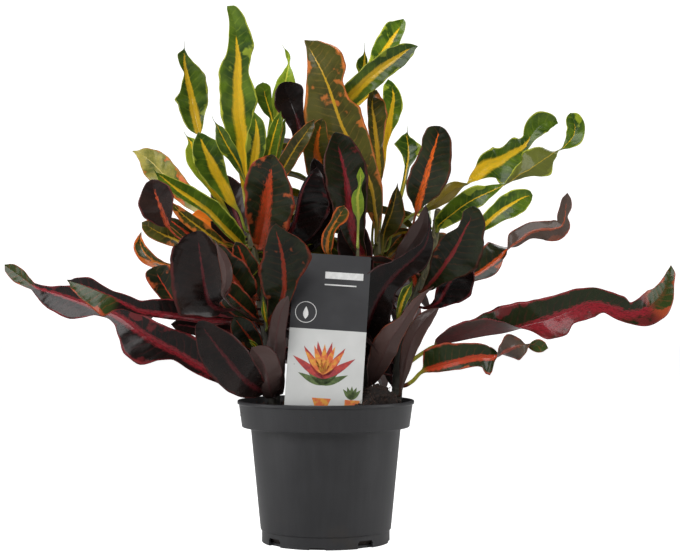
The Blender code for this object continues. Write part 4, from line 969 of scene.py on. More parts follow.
# %% All points of a leaf
THREAD_RADIUS = 0.25
THREAD_FROM = 0.75
AWN_RADIUS = 0.28
BLADE_ONSET = 4.0
STALK_END = 0.55
LEAST_BEND = 1e-4
SEED_SPAN = 40
MARKED_FIELDS = ("rib", "warm", "patch", "tone", "lean", "green", "fresh", "back")


def leaf_points(leaf, seed):
    """Every point of a leaf as rings, in millimetres, and the marks that its finish reads."""
    chance = np.random.default_rng(seed)
    points, widths, rolls, folds = leaf_route(leaf)
    if leaf.awn:
        points, widths, rolls, folds = with_awn(points, widths, rolls, folds, leaf.awn)
    knots = np.concatenate([[0], np.cumsum(np.linalg.norm(np.diff(points, axis=0), axis=1))])
    whole = knots[-1]
    places = ring_places(whole)
    middle, side, normal = ring_frames(leaf, knots, points, rolls, places)
    halves = ring_halves(leaf, knots, widths, places)
    fold = np.radians(smooth(knots, folds, places, True))
    width = halves.mean(axis=1)

    # Where the leaf is as thin as its stalk the ring is a round thread (blade 0), and elsewhere a blade (1)
    thread = leaf.petiole + (THREAD_RADIUS - leaf.petiole) * np.clip(places / whole / THREAD_FROM, 0, 1)
    blade = np.clip((width - thread) / BLADE_ONSET, 0, 1)[:, None]
    across_share, face = ring_shape()
    sign = np.sign(across_share)
    share = np.abs(across_share)
    along = places[:, None]
    phase = chance.uniform(0, math.tau, 6)
    turn = math.tau * along / RUFFLE_STEP
    waver = OUTLINE_WAVER * leaf.wave * outline_waves(turn, sign, phase)
    reach = np.where(sign < 0, halves[:, :1], halves[:, 1:]) * (1 + waver * blade)
    reach = reach * (1 + (foreshortening(leaf) - 1) * blade)

    # Each half rises from the midrib by the fold and bends on along an arc
    start = fold[:, None] * blade
    bend = np.radians(max(leaf.curl, 1)) * blade + LEAST_BEND
    lateral = sign * reach * (np.sin(start + bend * share) - np.sin(start)) / bend
    lift = reach * (np.cos(start) - np.cos(start + bend * share)) / bend
    off_rib = share * reach
    lift = lift + RUFFLE * leaf.wave * reach * share ** RUFFLE_ONSET * ruffle_waves(turn, sign, phase)
    lift = lift + puckers(along, off_rib, share, sign)
    fade = np.clip(1 - places / whole, 0, 1)[:, None]
    height = lift + faces_apart(off_rib, share, face, fade)

    radius = np.minimum(width, thread)[:, None]
    flat = np.minimum(thread, np.maximum(width, AWN_RADIUS))[:, None]
    thread_height = face * np.sqrt(np.maximum(1 - across_share ** 2, 0)) * flat
    lateral = lateral * blade + across_share * radius * (1 - blade)
    height = height * blade + thread_height * (1 - blade)
    rings = middle[:, None] + side[:, None] * lateral[..., None] + normal[:, None] * height[..., None]

    marks = {
        "along": along * MM,
        "across": sign * off_rib * MM,
        "edge": share,
        "share": along / whole / leaf.fade,
        "under": 0.5 - 0.5 * face,
        "stalk": (1 - blade) * (along < STALK_END * whole),
        "seed": chance.uniform(0, SEED_SPAN),
    }
    marks.update({field: getattr(leaf, field) for field in MARKED_FIELDS})
    return rings, {name: np.broadcast_to(values, rings.shape[:2]) for name, values in marks.items()}


FIRST_RINGS = leaf_points(LEAVES[0], 0)[0]
print("rings on the first leaf:", len(FIRST_RINGS))

# %% From rings to a finished piece
def loft(rings):
    """Vertices and faces of a closed loft, with a point in the middle of each end."""
    count, around = rings.shape[:2]
    points = np.vstack([rings.reshape(-1, 3), rings[0].mean(axis=0), rings[-1].mean(axis=0)])
    index = np.arange(count * around).reshape(count, around)
    following = np.roll(index, -1, axis=1)
    quads = np.stack([index[:-1], index[1:], following[1:], following[:-1]], axis=-1).reshape(-1, 4)
    first, last = count * around, count * around + 1
    ends = [(first, index[0, k], following[0, k]) for k in range(around)]
    ends += [(last, following[-1, k], index[-1, k]) for k in range(around)]
    return points, quads.tolist() + [tuple(int(k) for k in end) for end in ends]


def pad_marks(marks):
    return {name: np.concatenate([grid.reshape(-1), grid[0, :1], grid[-1, :1]])
            for name, grid in marks.items()}


def make_mesh(name, points, faces, smooth_faces=True):
    """A mesh in metres whose faces all point outwards."""
    mesh = bpy.data.meshes.new(name)
    mesh.from_pydata((np.asarray(points) * MM).tolist(), [], faces)
    shape = bmesh.new()
    shape.from_mesh(mesh)
    bmesh.ops.recalc_face_normals(shape, faces=shape.faces)
    if shape.calc_volume(signed=True) < 0:
        bmesh.ops.reverse_faces(shape, faces=shape.faces)
    shape.to_mesh(mesh)
    shape.free()
    if smooth_faces:
        mesh.shade_smooth()
    else:
        mesh.shade_flat()
    return mesh


def add_piece(name, mesh, finish, replaced=()):
    """A finished piece: it rides on the plant's one body and stands for the CAD nodes named."""
    piece = bpy.data.objects.new(name, mesh)
    bpy.context.scene.collection.objects.link(piece)
    if finish:
        mesh.materials.append(finish)
    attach(piece, "root")
    if replaced:
        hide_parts(*replaced)
    return piece


print("faces of the first leaf:", len(loft(FIRST_RINGS)[1]))

# %% [markdown]
# ## Leaf finishes
# Croton colours follow the leaf's own plan. Yellow or red runs along the midrib, feathers out along the side
# veins and comes back at the margin and in blotches, and the underside is duller. One recipe paints all the
# leaves: it reads the marks that each ring of points carries, so a band of colour bends and narrows with
# its blade. A photograph of a leaf could be wrapped on instead, but it would repeat on every leaf.

# %% Colours of each finish
# Eight colours: the blade and its darker shade, the band along the midrib, side veins, margin, patches,
# underside and petiole. Then the band's half width in millimetres, how strong the veins are, how wide the
# edging is, how strong the patches are, the roughness, how soft and how ragged the band's sides are, and how
# much of the upper face shows through on the underside.
Colouring = namedtuple(
    "Colouring",
    "blade shade rib vein margin patch under petiole rib_width veins edging patches gloss soft ragged show",
    defaults=(1.5, 0.5, 0.05, 0.0, 0.36, 0.2, 1.0, 0.22))
COLOURINGS = {
    LIME: Colouring(
        "#4e6416", "#263c0c", "#c8a01c", "#84922c", "#b0b43c", "#9aa62c", "#626228", "#8a9438",
        rib_width=1.9, veins=0.2, edging=0.05, patches=0.5, gloss=0.34, soft=0.3, ragged=0.35),
    OLIVE: Colouring(
        "#4a481a", "#302f10", "#b08a20", "#84662a", "#b8662a", "#bc682c", "#4c4620", "#66662a",
        rib_width=1.5, veins=0.3, edging=0.06, patches=0.85, gloss=0.36, soft=0.3, ragged=0.5, show=0.75),
    SPECKLED: Colouring(
        "#a89c4c", "#46541e", "#b8a450", "#b0a050", "#b07a30", "#cc6428", "#8a8048", "#8a8a40",
        rib_width=1.0, veins=0.2, edging=0.06, patches=0.95, gloss=0.4),
    ORANGE: Colouring(
        "#3c4218", "#2a2a12", "#b8681e", "#8a5a26", "#c0561e", "#c8681e", "#5c4020", "#6a5028",
        rib_width=1.3, veins=0.4, edging=0.14, patches=0.9, gloss=0.36, show=0.4),
    RED_GREEN: Colouring(
        "#272c18", "#14180d", "#a2341e", "#74401f", "#94361f", "#a8502a", "#564640", "#6a3a28",
        rib_width=1.7, veins=0.14, edging=0.06, patches=0.7, gloss=0.32, soft=0.3),
    RED_BLACK: Colouring(
        "#221412", "#100d0b", "#86222a", "#501c1e", "#8a2a2e", "#6c2024", "#544441", "#482422",
        rib_width=1.6, veins=0.25, edging=0.055, patches=0.7, gloss=0.3, soft=0.5, show=0.12),
    MAROON: Colouring(
        "#1f1512", "#120c0b", "#501c20", "#2e1716", "#521e1c", "#321918", "#52413e", "#3a2020",
        rib_width=1.3, veins=0.2, edging=0.05, patches=0.3, gloss=0.3, soft=0.5, show=0.15),
    PURPLE: Colouring(
        "#2a1c1a", "#181110", "#3c201e", "#30201e", "#8a4026", "#301c18", "#54403c", "#443028",
        rib_width=1.1, veins=0.2, edging=0.05, patches=0.15, gloss=0.34, show=0.15),
    YOUNG: Colouring(
        "#7a9224", "#56741c", "#b4b440", "#a0ac38", "#84982c", "#a0a838", "#808c38", "#98a048",
        rib_width=1.2, veins=0.4, edging=0.05, patches=0.3, gloss=0.38, soft=0.3, ragged=0.3),
}
ORANGE_RIB = "#cc5818"
CRIMSON_RIB = "#8a2630"
GREEN_BLADE = "#1e280f"
GREEN_PETIOLE = "#a0a03a"
FRESH_GREEN = "#34421c"
FRESH_ORANGE = "#a84c2a"
print("colourings:", len(COLOURINGS))

# %% Masks on a leaf
VEIN_WANDER = 0.9
PATCH_MIX = (0.55, 0.45, 0.07, 0.15)
PATCH_START = 0.75
PATCH_FULL = 0.8
PLAIN_RIM = 0.3
BAND_SWELL = 3.24
BAND_FOOT = 0.73
BAND_SIDE = 0.95
BAND_FEATHER = 0.9
BAND_FRAY = 0.0022
LEAST_REACH = 0.0001
STREAK_STRETCH = 7.0

MARKS = "across along seed edge share under stalk rib warm patch tone lean green fresh back"
Skin = namedtuple("Skin", MARKS + " cloud grain blotch streaks")


def leaf_skin(paint):
    """The marks on a leaf, and soft noise of four sizes. A leaf's seed gives it its own slice of noise."""
    across, along, seed, *others = [paint.attribute(mark) for mark in MARKS.split()]
    where = paint.join(across, along, seed)
    narrow = paint.join(across * STREAK_STRETCH, along, seed)
    return Skin(across, along, seed, *others, cloud=paint.noise(where, 36.0, 2.0),
                grain=paint.noise(where, 210.0, 3.0, 0.6), blotch=paint.noise(where, 75.0, 3.0, 0.55),
                streaks=paint.noise(narrow, 230.0, 2.0, 0.55))


def side_veins(paint, skin):
    """How far a point is from its side vein, 0 to 1, and the vein's own thin line."""
    out = abs(skin.across) / (VEIN_STEP * MM) * -VEIN_SLANT
    stripe = (out + skin.along / (VEIN_STEP * MM) + (skin.blotch - 0.5) * VEIN_WANDER
              + skin.across.math("GREATER_THAN", 0.0) * VEIN_STAGGER)
    line = abs(stripe.math("FRACT") - 0.5) * 2.0
    return line, paint.rise(line + (skin.grain - 0.5) * 0.5, 0.7, 1.0)


def patch_mask(paint, skin):
    """Patches come where the noise is high, and more of them near the margin."""
    cloud, blotch, gain, edge = PATCH_MIX
    likely = skin.cloud * cloud + skin.blotch * blotch + skin.patch * gain + skin.edge * edge
    return paint.rise(likely, PATCH_START, PATCH_FULL)


def rim_mask(paint, plan, skin):
    """The edging, which is fainter on a leaf without patches."""
    uneven = skin.edge + (skin.blotch - 0.5) * 0.3
    rim = paint.rise(uneven, 1.0 - plan.edging * 2.5, 1.0 - plan.edging * 0.5)
    return rim * (skin.patch.math("MAXIMUM", 0.0).math("MINIMUM", 1.0) * (1.0 - PLAIN_RIM) + PLAIN_RIM)


def band_mask(paint, plan, skin, vein_line):
    """The band along the midrib: widest in the leaf's lower half, and feathered along the side veins."""
    left = (1.0 - skin.share).math("MAXIMUM", 0.0)
    broad = (skin.share * BAND_SWELL + BAND_FOOT) * left
    lopsided = (skin.across.math("GREATER_THAN", 0.0) * 2.0 - 1.0) * skin.lean + 1.0
    reach = broad * (0.5 + skin.cloud) * skin.rib * lopsided * (plan.rib_width * MM)
    feather = vein_line * (plan.rib_width * BAND_FEATHER * MM)
    frayed = (skin.streaks - 0.5) * (skin.rib * (BAND_FRAY * plan.ragged))
    ratio = (abs(skin.across) - feather * plan.veins * skin.warm + frayed) / (reach + LEAST_REACH)
    solid = 1.0 - paint.rise(ratio, BAND_SIDE - plan.soft, BAND_SIDE + plan.soft)
    return solid * (1.0 - skin.stalk) * paint.rise(left, 0.0, 0.03)


def fresh_mask(paint, skin):
    """The green end of a leaf that is still changing colour. A negative mark keeps to its left half."""
    amount = abs(skin.fresh)
    left = skin.across.math("LESS_THAN", 0.0)
    either = (left + skin.fresh.math("GREATER_THAN", 0.0)).math("MINIMUM", 1.0)
    return paint.rise(skin.share + amount, 1.0, 1.05) * amount.math("GREATER_THAN", 0.0) * either


print("marks that a finish reads:", MARKS)

# %% The recipe for a leaf
def ground_colour(paint, plan, skin):
    mottle = paint.rise(skin.cloud * 0.6 + skin.blotch * 0.4, 0.36, 0.62)
    colour = paint.blend(hue(plan.blade), hue(plan.shade), mottle)
    return paint.blend(colour, hue(GREEN_BLADE), skin.green * (1.0 - mottle * 0.4))


def band_colour(paint, plan, skin, warmth):
    """Crimson on a cool leaf, orange on a warm one, with streaks of the vein's colour."""
    cool = 1.0 - paint.rise(skin.warm, 0.0, 0.9)
    bright = paint.blend(paint.blend(hue(plan.rib), hue(CRIMSON_RIB), cool), hue(ORANGE_RIB), warmth)
    return paint.blend(bright, hue(plan.vein), paint.rise(skin.streaks, 0.46, 0.66) * (0.8 * plan.ragged))


def underside_colour(paint, plan, skin, colour, through):
    """Duller than the upper face, which shows through. Painted shade darkens it towards the stalk, and the
    leaf's back mark scales that painted shade.
    """
    dull = paint.brightness(hue(plan.under), skin.tone.math("MINIMUM", 1.0))
    # Painted shade: half as bright at the stalk, fully bright from half way up, times the leaf's back mark
    lit = paint.rise(skin.share, 0.1, 0.5) * 0.5 + 0.5
    return paint.brightness(paint.blend(dull, colour, through + plan.show), lit * skin.back)


def petiole_colour(paint, plan, skin):
    """A greenish leaf has a pale green stalk beyond its first centimetre."""
    sprung = paint.rise(skin.green, 0.4, 0.6) * paint.rise(skin.along, 0.009, 0.013)
    return paint.blend(hue(plan.petiole), hue(GREEN_PETIOLE), sprung)


def leaf_finish(name, plan):
    paint = Paint(name, Specular_IOR_Level=0.12, Coat_Weight=0.22, Coat_Roughness=0.12)
    skin = leaf_skin(paint)
    line, vein_line = side_veins(paint, skin)
    clearing = patch_mask(paint, skin)
    rim = rim_mask(paint, plan, skin)
    band = band_mask(paint, plan, skin, vein_line)
    warmth = paint.rise(skin.warm, 1.0, 2.0)

    colour = ground_colour(paint, plan, skin)
    fading = 1.0 - paint.rise(skin.edge, 0.3, 0.98)
    colour = paint.blend(colour, hue(plan.vein), vein_line * fading * plan.veins * (skin.blotch * 2.0))
    patch = paint.blend(hue(plan.patch), hue(ORANGE_RIB), warmth * 0.7)
    colour = paint.blend(colour, patch, clearing * plan.patches)
    colour = paint.blend(colour, hue(plan.margin), rim * 0.85)
    colour = paint.blend(colour, band_colour(paint, plan, skin, warmth), band)
    lit = (rim + clearing + vein_line * 0.2).math("MINIMUM", 1.0)
    fresh = paint.blend(hue(FRESH_GREEN), hue(FRESH_ORANGE), lit)
    colour = paint.blend(colour, fresh, fresh_mask(paint, skin) * 0.8)
    colour = paint.brightness(colour, skin.tone * (0.86 + skin.grain * 0.28))
    lower = underside_colour(paint, plan, skin, colour, band * 0.2 + rim * 0.5)
    colour = paint.blend(colour, lower, skin.under)
    colour = paint.blend(colour, petiole_colour(paint, plan, skin), skin.stalk * 0.85)

    paint.feed("Base Color", colour)
    paint.feed("Roughness", skin.under * 0.14 + skin.blotch * 0.22 + (plan.gloss - 0.13))
    paint.bump(line * -0.3 + skin.grain * 0.6 + skin.blotch * 3.0, 0.0005, 0.5)
    return paint.material


FINISHES = {name: leaf_finish(name, plan) for name, plan in COLOURINGS.items()}
print("leaf finishes:", ", ".join(FINISHES))

# %% [markdown]
# ## Leaves in place
# One piece is made for each CAD leaf and stands for it. The small leaves that have no solid of their own ride
# along as extra pieces.

# %% Grow the leaves
SMALL_SEED = 100
SPRAY_SEED = 200


def add_leaf(leaf, seed, replaced=()):
    rings, marks = leaf_points(leaf, seed)
    points, faces = loft(rings)
    mesh = make_mesh(leaf.name, points, faces)
    for mark, values in pad_marks(marks).items():
        mesh.attributes.new(mark, "FLOAT", "POINT").data.foreach_set("value", np.asarray(values, np.float32))
    add_piece(f"{leaf.name}_blade", mesh, FINISHES[leaf.finish], replaced)
    return len(mesh.polygons)


total = sum(add_leaf(leaf, index, (leaf.name,)) for index, leaf in enumerate(LEAVES))
total += sum(add_leaf(leaf, SMALL_SEED + index) for index, leaf in enumerate(SMALL_LEAVES))
total += sum(add_leaf(leaf, SPRAY_SEED + index) for index, leaf in enumerate(SPRAY_LEAVES))
print("leaf faces:", total)

# %% [markdown]
# ## The pot
# A nursery pot is one thin moulded wall: a deep collar at the rim so that pots stack without jamming, a
# tapered body, a slightly smaller foot and notches that let water out from under it. A turned outline gives
# every round edge at once; a Boolean cuts the notches, which a turned shape can't have.

# %% Pot sizes
RIM_RADIUS = 85.0
POT_HEIGHT = 138.0
WALL = 1.6
LIP = 1.5
COLLAR_HEIGHT = 26.0
COLLAR_FOOT_RADIUS = 82.0
BODY_TOP_RADIUS = 73.2
BODY_FOOT_RADIUS = 63.8
FOOT_RADIUS = 62.5
FOOT_HEIGHT = 12.0
FOOT_STEP = 0.6
SHOULDER = (0.6, 0.4)
SHOULDER_DROP = 3.0
LIP_EDGE = 3.3
LIP_FOOT = 3.8
INNER_SHOULDER = (0.5, 1.8)
EDGE_ROUND = 1.1
SHARP_ANGLE = 38
FLOOR_THICKNESS = 2.5
NOTCHES = 8
FIRST_NOTCH = -52.0
TALL_NOTCH = (18.0, 7.5)
LOW_NOTCH = (16.0, 2.3)
NOTCH_DEPTH = 9.0
NOTCH_ROUND = 1.5
LEVEL = 1e-6
DRAIN_HOLES = 6
DRAIN_RADIUS = 4.0
DRAIN_RING = 34.0
DRAIN_TURN = 4.0
POT_STEPS = 144


def rounded(outline, radius, steps=4):
    """The outline with every inner corner replaced by a small arc."""
    soft = [outline[0]]
    for before, corner, after in zip(outline, outline[1:], outline[2:]):
        corner = Vector(corner)
        back = Vector(before) - corner
        forth = Vector(after) - corner
        reach = min(radius, back.length * 0.45, forth.length * 0.45)
        start = corner + back.normalized() * reach
        end = corner + forth.normalized() * reach
        for index in range(steps + 1):
            u = index / steps
            soft.append(tuple(start * (1 - u) ** 2 + corner * (2 * u * (1 - u)) + end * u ** 2))
    return soft + [outline[-1]]


def turned(outline, steps):
    """Points and faces of an outline of (radius, height) turned about Z, closed where it meets the axis."""
    inner = outline[1:-1]
    angles = np.linspace(0, math.tau, steps, endpoint=False)
    rings = np.array([[(r * math.cos(a), r * math.sin(a), z) for a in angles] for r, z in inner])
    points, faces = loft(rings)
    points[-2] = (0, 0, outline[0][1])
    points[-1] = (0, 0, outline[-1][1])
    return points, faces


def inner_radius(height):
    """Radius of the pot's inner wall at a height."""
    step = POT_HEIGHT - COLLAR_HEIGHT
    if height > step:
        share = (height - step) / COLLAR_HEIGHT
        return COLLAR_FOOT_RADIUS + (RIM_RADIUS - COLLAR_FOOT_RADIUS) * share - WALL
    share = (height - FOOT_HEIGHT) / (step - FOOT_HEIGHT)
    return BODY_FOOT_RADIUS + (BODY_TOP_RADIUS - BODY_FOOT_RADIUS) * share - WALL


print("the pot's inner radius at its rim:", round(inner_radius(POT_HEIGHT), 1))

# %% [markdown]
# ## Booleans that leave nothing behind
# A modifier is kept live while trying sizes. Here each cut is applied at once, and its cutter removed, so
# that the finished pot is one plain mesh.

# %% Cut the pot
def applied(piece):
    """The mesh that an object's modifiers give."""
    bpy.context.view_layer.update()
    return bpy.data.meshes.new_from_object(piece.evaluated_get(bpy.context.evaluated_depsgraph_get()))


def cut_mesh(mesh, cutters):
    body = bpy.data.objects.new("body_to_cut", mesh)
    bpy.context.scene.collection.objects.link(body)
    tools = []
    for cutter in cutters:
        tool = bpy.data.objects.new("cutter", cutter)
        bpy.context.scene.collection.objects.link(tool)
        tools.append(tool)
        change = body.modifiers.new("cut", "BOOLEAN")
        change.operation = "DIFFERENCE"
        change.object = tool
    result = applied(body)
    for item in (body, *tools):
        bpy.data.objects.remove(item, do_unlink=True)
    return result


def notch_cutter(width, height, angle):
    """A block across the foot's wall whose upper corners are rounded."""
    shape = bmesh.new()
    bmesh.ops.create_cube(shape, size=1.0)
    shape.transform(Matrix.Diagonal((NOTCH_DEPTH * MM, width * MM, 2 * height * MM, 1)))
    upper = [edge for edge in shape.edges if all(v.co.z > 0 for v in edge.verts)
             and abs(edge.verts[0].co.y - edge.verts[1].co.y) < LEVEL]
    radius = min(NOTCH_ROUND, height * 0.4)
    bmesh.ops.bevel(shape, geom=upper, offset=radius * MM, segments=3, affect="EDGES")
    place = Matrix.Translation((FOOT_RADIUS * MM, 0, 0))
    shape.transform(Matrix.Rotation(angle, 4, "Z") @ place)
    mesh = bpy.data.meshes.new("notch")
    shape.to_mesh(mesh)
    shape.free()
    return mesh


def drain_cutter(angle):
    shape = bmesh.new()
    bmesh.ops.create_cone(shape, cap_ends=True, segments=32, radius1=DRAIN_RADIUS * MM,
                          radius2=DRAIN_RADIUS * MM, depth=(FLOOR_THICKNESS + 4) * MM)
    centre = (DRAIN_RING * math.cos(angle), DRAIN_RING * math.sin(angle), FLOOR_THICKNESS / 2)
    shape.transform(Matrix.Translation([length * MM for length in centre]))
    mesh = bpy.data.meshes.new("drain")
    shape.to_mesh(mesh)
    shape.free()
    return mesh


def plastic_finish():
    paint = Paint("pot_plastic", Specular_IOR_Level=0.45)
    where = paint.place()
    haze = paint.noise(where, 14.0, 3.0, 0.6)
    grain = paint.noise(where, 900.0, 2.0)
    upright = paint.add("ShaderNodeMapping", inputs={"Vector": where, "Scale": (60.0, 60.0, 5.0)})
    flow = paint.noise(upright, 3.0, 3.0)
    colour = paint.blend(hue("#242426"), hue("#2b2b2d"), paint.rise(haze * 0.6 + flow * 0.4, 0.35, 0.65))
    scuffs = paint.noise(where, 260.0, 3.0, 0.7)
    sparse = paint.rise(haze, 0.5, 0.72)
    marks = paint.rise(scuffs, 0.68, 0.76) * sparse
    colour = paint.blend(colour, hue("#606062"), marks * 0.5)
    height = paint.split(where, "Z")
    low = 1.0 - paint.rise(height, 0.004, 0.045)
    soil_mark = paint.rise(paint.noise(where, 45.0, 4.0, 0.65), 0.5, 0.72) * low
    colour = paint.blend(colour, hue("#352e27"), soil_mark * 0.4)
    paint.feed("Base Color", colour)
    paint.feed("Roughness", 0.36 + haze * 0.16 + marks * 0.1)
    paint.bump(grain * 0.5 + flow * 0.5, 0.00012, 0.5)
    return paint.material


def pot_outline():
    """The wall's outline as (radius, height): up the inside, over the lip and down the outside."""
    step = POT_HEIGHT - COLLAR_HEIGHT
    inside = [
        (0, FLOOR_THICKNESS), (FOOT_RADIUS - WALL - 1, FLOOR_THICKNESS),
        (inner_radius(FOOT_HEIGHT), FOOT_HEIGHT), (inner_radius(step), step),
        (inner_radius(step + INNER_SHOULDER[0]), step + INNER_SHOULDER[1]),
        (inner_radius(POT_HEIGHT), POT_HEIGHT)]
    collar = [
        (RIM_RADIUS + LIP, POT_HEIGHT), (RIM_RADIUS + LIP, POT_HEIGHT - LIP_EDGE),
        (RIM_RADIUS, POT_HEIGHT - LIP_FOOT), (COLLAR_FOOT_RADIUS, step)]
    outside = [
        (BODY_TOP_RADIUS + SHOULDER[0], step - SHOULDER[1]), (BODY_TOP_RADIUS, step - SHOULDER_DROP),
        (BODY_FOOT_RADIUS, FOOT_HEIGHT + FOOT_STEP), (FOOT_RADIUS, FOOT_HEIGHT), (FOOT_RADIUS, 0), (0, 0)]
    return inside + collar + outside


def add_pot():
    points, faces = turned(rounded(pot_outline(), EDGE_ROUND), POT_STEPS)
    mesh = make_mesh("pot", points, faces)
    cutters = []
    for index in range(NOTCHES):
        width, height = LOW_NOTCH if index % 2 else TALL_NOTCH
        cutters.append(notch_cutter(width, height, math.radians(FIRST_NOTCH + index * 360 / NOTCHES - 90)))
    for index in range(DRAIN_HOLES):
        cutters.append(drain_cutter(math.radians(DRAIN_TURN + index * 360 / DRAIN_HOLES)))
    mesh = cut_mesh(mesh, cutters)
    mesh.shade_smooth()
    mesh.set_sharp_from_angle(angle=math.radians(SHARP_ANGLE))
    mesh.materials.clear()
    add_piece("nursery_pot", mesh, plastic_finish(), ("pot",))
    print("pot faces:", len(mesh.polygons))


add_pot()

# %% [markdown]
# ## Geometry Nodes from Python
# Crumbs, fibres and leaf scars repeat hundreds of times, which is what Geometry Nodes are for. Each tree has
# named sizes and fixed seeds, and ends with real geometry and a material. The helper below runs a tree once
# and keeps the mesh it gives.

# %% Trees and how they run
def geometry_tree(name, sizes):
    """A Geometry Nodes tree with named number inputs, and the value of each."""
    group = bpy.data.node_groups.new(name, "GeometryNodeTree")
    group.interface.new_socket("Geometry", in_out="INPUT", socket_type="NodeSocketGeometry")
    group.interface.new_socket("Geometry", in_out="OUTPUT", socket_type="NodeSocketGeometry")
    for label, size in sizes.items():
        kind = "NodeSocketInt" if isinstance(size, int) else "NodeSocketFloat"
        group.interface.new_socket(label, in_out="INPUT", socket_type=kind)
    tree = Tree(group)
    entry = tree.nodes.new("NodeGroupInput")
    named = {socket.name: Value(tree, socket) for socket in entry.outputs if socket.name}
    return group, tree, named


def close_tree(tree, geometry, finish):
    """Real geometry and a material at the end of a tree."""
    real = tree.add("GeometryNodeRealizeInstances", inputs={"Geometry": geometry})
    real = tree.add("GeometryNodeSetMaterial", inputs={"Geometry": real, "Material": finish})
    tree.set(tree.nodes.new("NodeGroupOutput").inputs["Geometry"], real)


def run_tree(name, mesh, group, sizes):
    """The plain mesh that a tree makes from a base mesh."""
    base = bpy.data.objects.new(name, mesh)
    bpy.context.scene.collection.objects.link(base)
    change = base.modifiers.new(group.name, "NODES")
    change.node_group = group
    for item in group.interface.items_tree:
        if item.in_out == "INPUT" and item.name in sizes:
            change[item.identifier] = sizes[item.name]
    made = applied(base)
    base.modifiers.remove(change)
    bpy.data.objects.remove(base, do_unlink=True)
    return made


print("tree helpers ready")

# %% [markdown]
# ## Potting soil
# Peat is a heap of dark crumbs with pale roots and bits of bark on top. A bump map would leave its edge
# smooth, so the base surface is made uneven and real crumbs and fibres are scattered over it.

# %% Soil surface
SOIL_EDGE = 129.0
SOIL_CROWN = 135.0
MOUND = (50.0, -52.0)
MOUND_RISE = 25.0
MOUND_SPREAD = 17.0
SOIL_RINGS = 46
SOIL_STEPS = 120
LUMP = 1.6
LUMP_SCALE = 0.12
LUMP_LEVEL = 3.0
LUMP_MARGIN = 4
ROOT_GAP = 2


def soil_height(x, y):
    share = math.hypot(x, y) / inner_radius(SOIL_EDGE)
    away = ((x - MOUND[0]) ** 2 + (y - MOUND[1]) ** 2) / (2 * MOUND_SPREAD ** 2)
    return SOIL_CROWN + (SOIL_EDGE - SOIL_CROWN) * share * share + MOUND_RISE * math.exp(-away)


def peat_finish(name, dark, light):
    paint = Paint(name)
    where = paint.place()
    fine = paint.noise(where, 420.0, 4.0, 0.7)
    broad = paint.noise(where, 70.0, 3.0)
    colour = paint.blend(hue(dark), hue(light), paint.rise(fine * 0.6 + broad * 0.4, 0.38, 0.66))
    paint.feed("Base Color", colour)
    paint.feed("Roughness", 0.8 + fine * 0.2)
    paint.bump(fine, 0.0012, 0.8)
    return paint.material


def ring_around(radius):
    """Points around the pot's axis."""
    angles = [math.tau * turn / SOIL_STEPS for turn in range(SOIL_STEPS)]
    return [(radius * math.cos(angle), radius * math.sin(angle)) for angle in angles]


def soil_mesh():
    """The uneven surface as rings from the middle out, and then the root ball's side down to its foot."""
    edge = inner_radius(SOIL_EDGE) - TOUCH
    rings = []
    for index in range(1, SOIL_RINGS + 1):
        radius = edge * index / SOIL_RINGS
        lumpy = LUMP * min(1, (edge - radius) / LUMP_MARGIN)
        ring = []
        for x, y in ring_around(radius):
            lump = noise.fractal(Vector((x, y, LUMP_LEVEL)) * LUMP_SCALE, 1.0, 2.0, 4) * lumpy
            ring.append((x, y, soil_height(x, y) + lump))
        rings.append(ring)
    step = POT_HEIGHT - COLLAR_HEIGHT
    side = ((inner_radius(step + 2) - ROOT_GAP, step + 3), (inner_radius(step) - ROOT_GAP, step),
            (inner_radius(FOOT_HEIGHT) - ROOT_GAP, FOOT_HEIGHT), (FOOT_RADIUS - 5, FLOOR_THICKNESS + TOUCH))
    rings += [[(x, y, height) for x, y in ring_around(radius)] for radius, height in side]
    points, faces = loft(np.array(rings))
    points[-2] = (0, 0, soil_height(0, 0))
    return make_mesh("soil", points, faces)


print("the soil's height in the middle:", round(soil_height(0, 0), 1))

# %% Crumbs and fibres
CRUMBS = {"Density": 52000.0, "Smallest": 0.0006, "Largest": 0.0021, "Seed": 4}
FIBRES = {"Density": 26000.0, "Length": 0.011, "Seed": 9}
UPWARD = 0.3
LOWEST_CRUMB = 0.12
SHAKE_SCALE = 900.0
SHAKE = 0.0022
SHORTEST_FIBRE = 0.35


def scatter(tree, named, piece, density, seed, scale):
    """Instances of a piece over the upward faces of the tree's base mesh, turned at random."""
    normal = tree.add("GeometryNodeInputNormal")
    up = tree.add("ShaderNodeSeparateXYZ", inputs={0: normal}, output="Z")
    position = tree.add("GeometryNodeInputPosition")
    height = tree.add("ShaderNodeSeparateXYZ", inputs={0: position}, output="Z")
    chosen = up.math("GREATER_THAN", UPWARD) * height.math("GREATER_THAN", LOWEST_CRUMB)
    spots = tree.add("GeometryNodeDistributePointsOnFaces", inputs={
        "Mesh": named["Geometry"], "Selection": chosen, "Density": density, "Seed": seed})
    turn = tree.add("FunctionNodeRandomValue", {"data_type": "FLOAT_VECTOR"}, {
        0: (0, 0, 0), 1: (math.tau, math.tau, math.tau), "Seed": seed})
    return tree.add("GeometryNodeInstanceOnPoints", inputs={
        "Points": spots, "Instance": piece, "Rotation": turn, "Scale": scale})


def random_number(tree, low, high, seed):
    return tree.add("FunctionNodeRandomValue", {"data_type": "FLOAT"}, {2: low, 3: high, "Seed": seed}, 1)


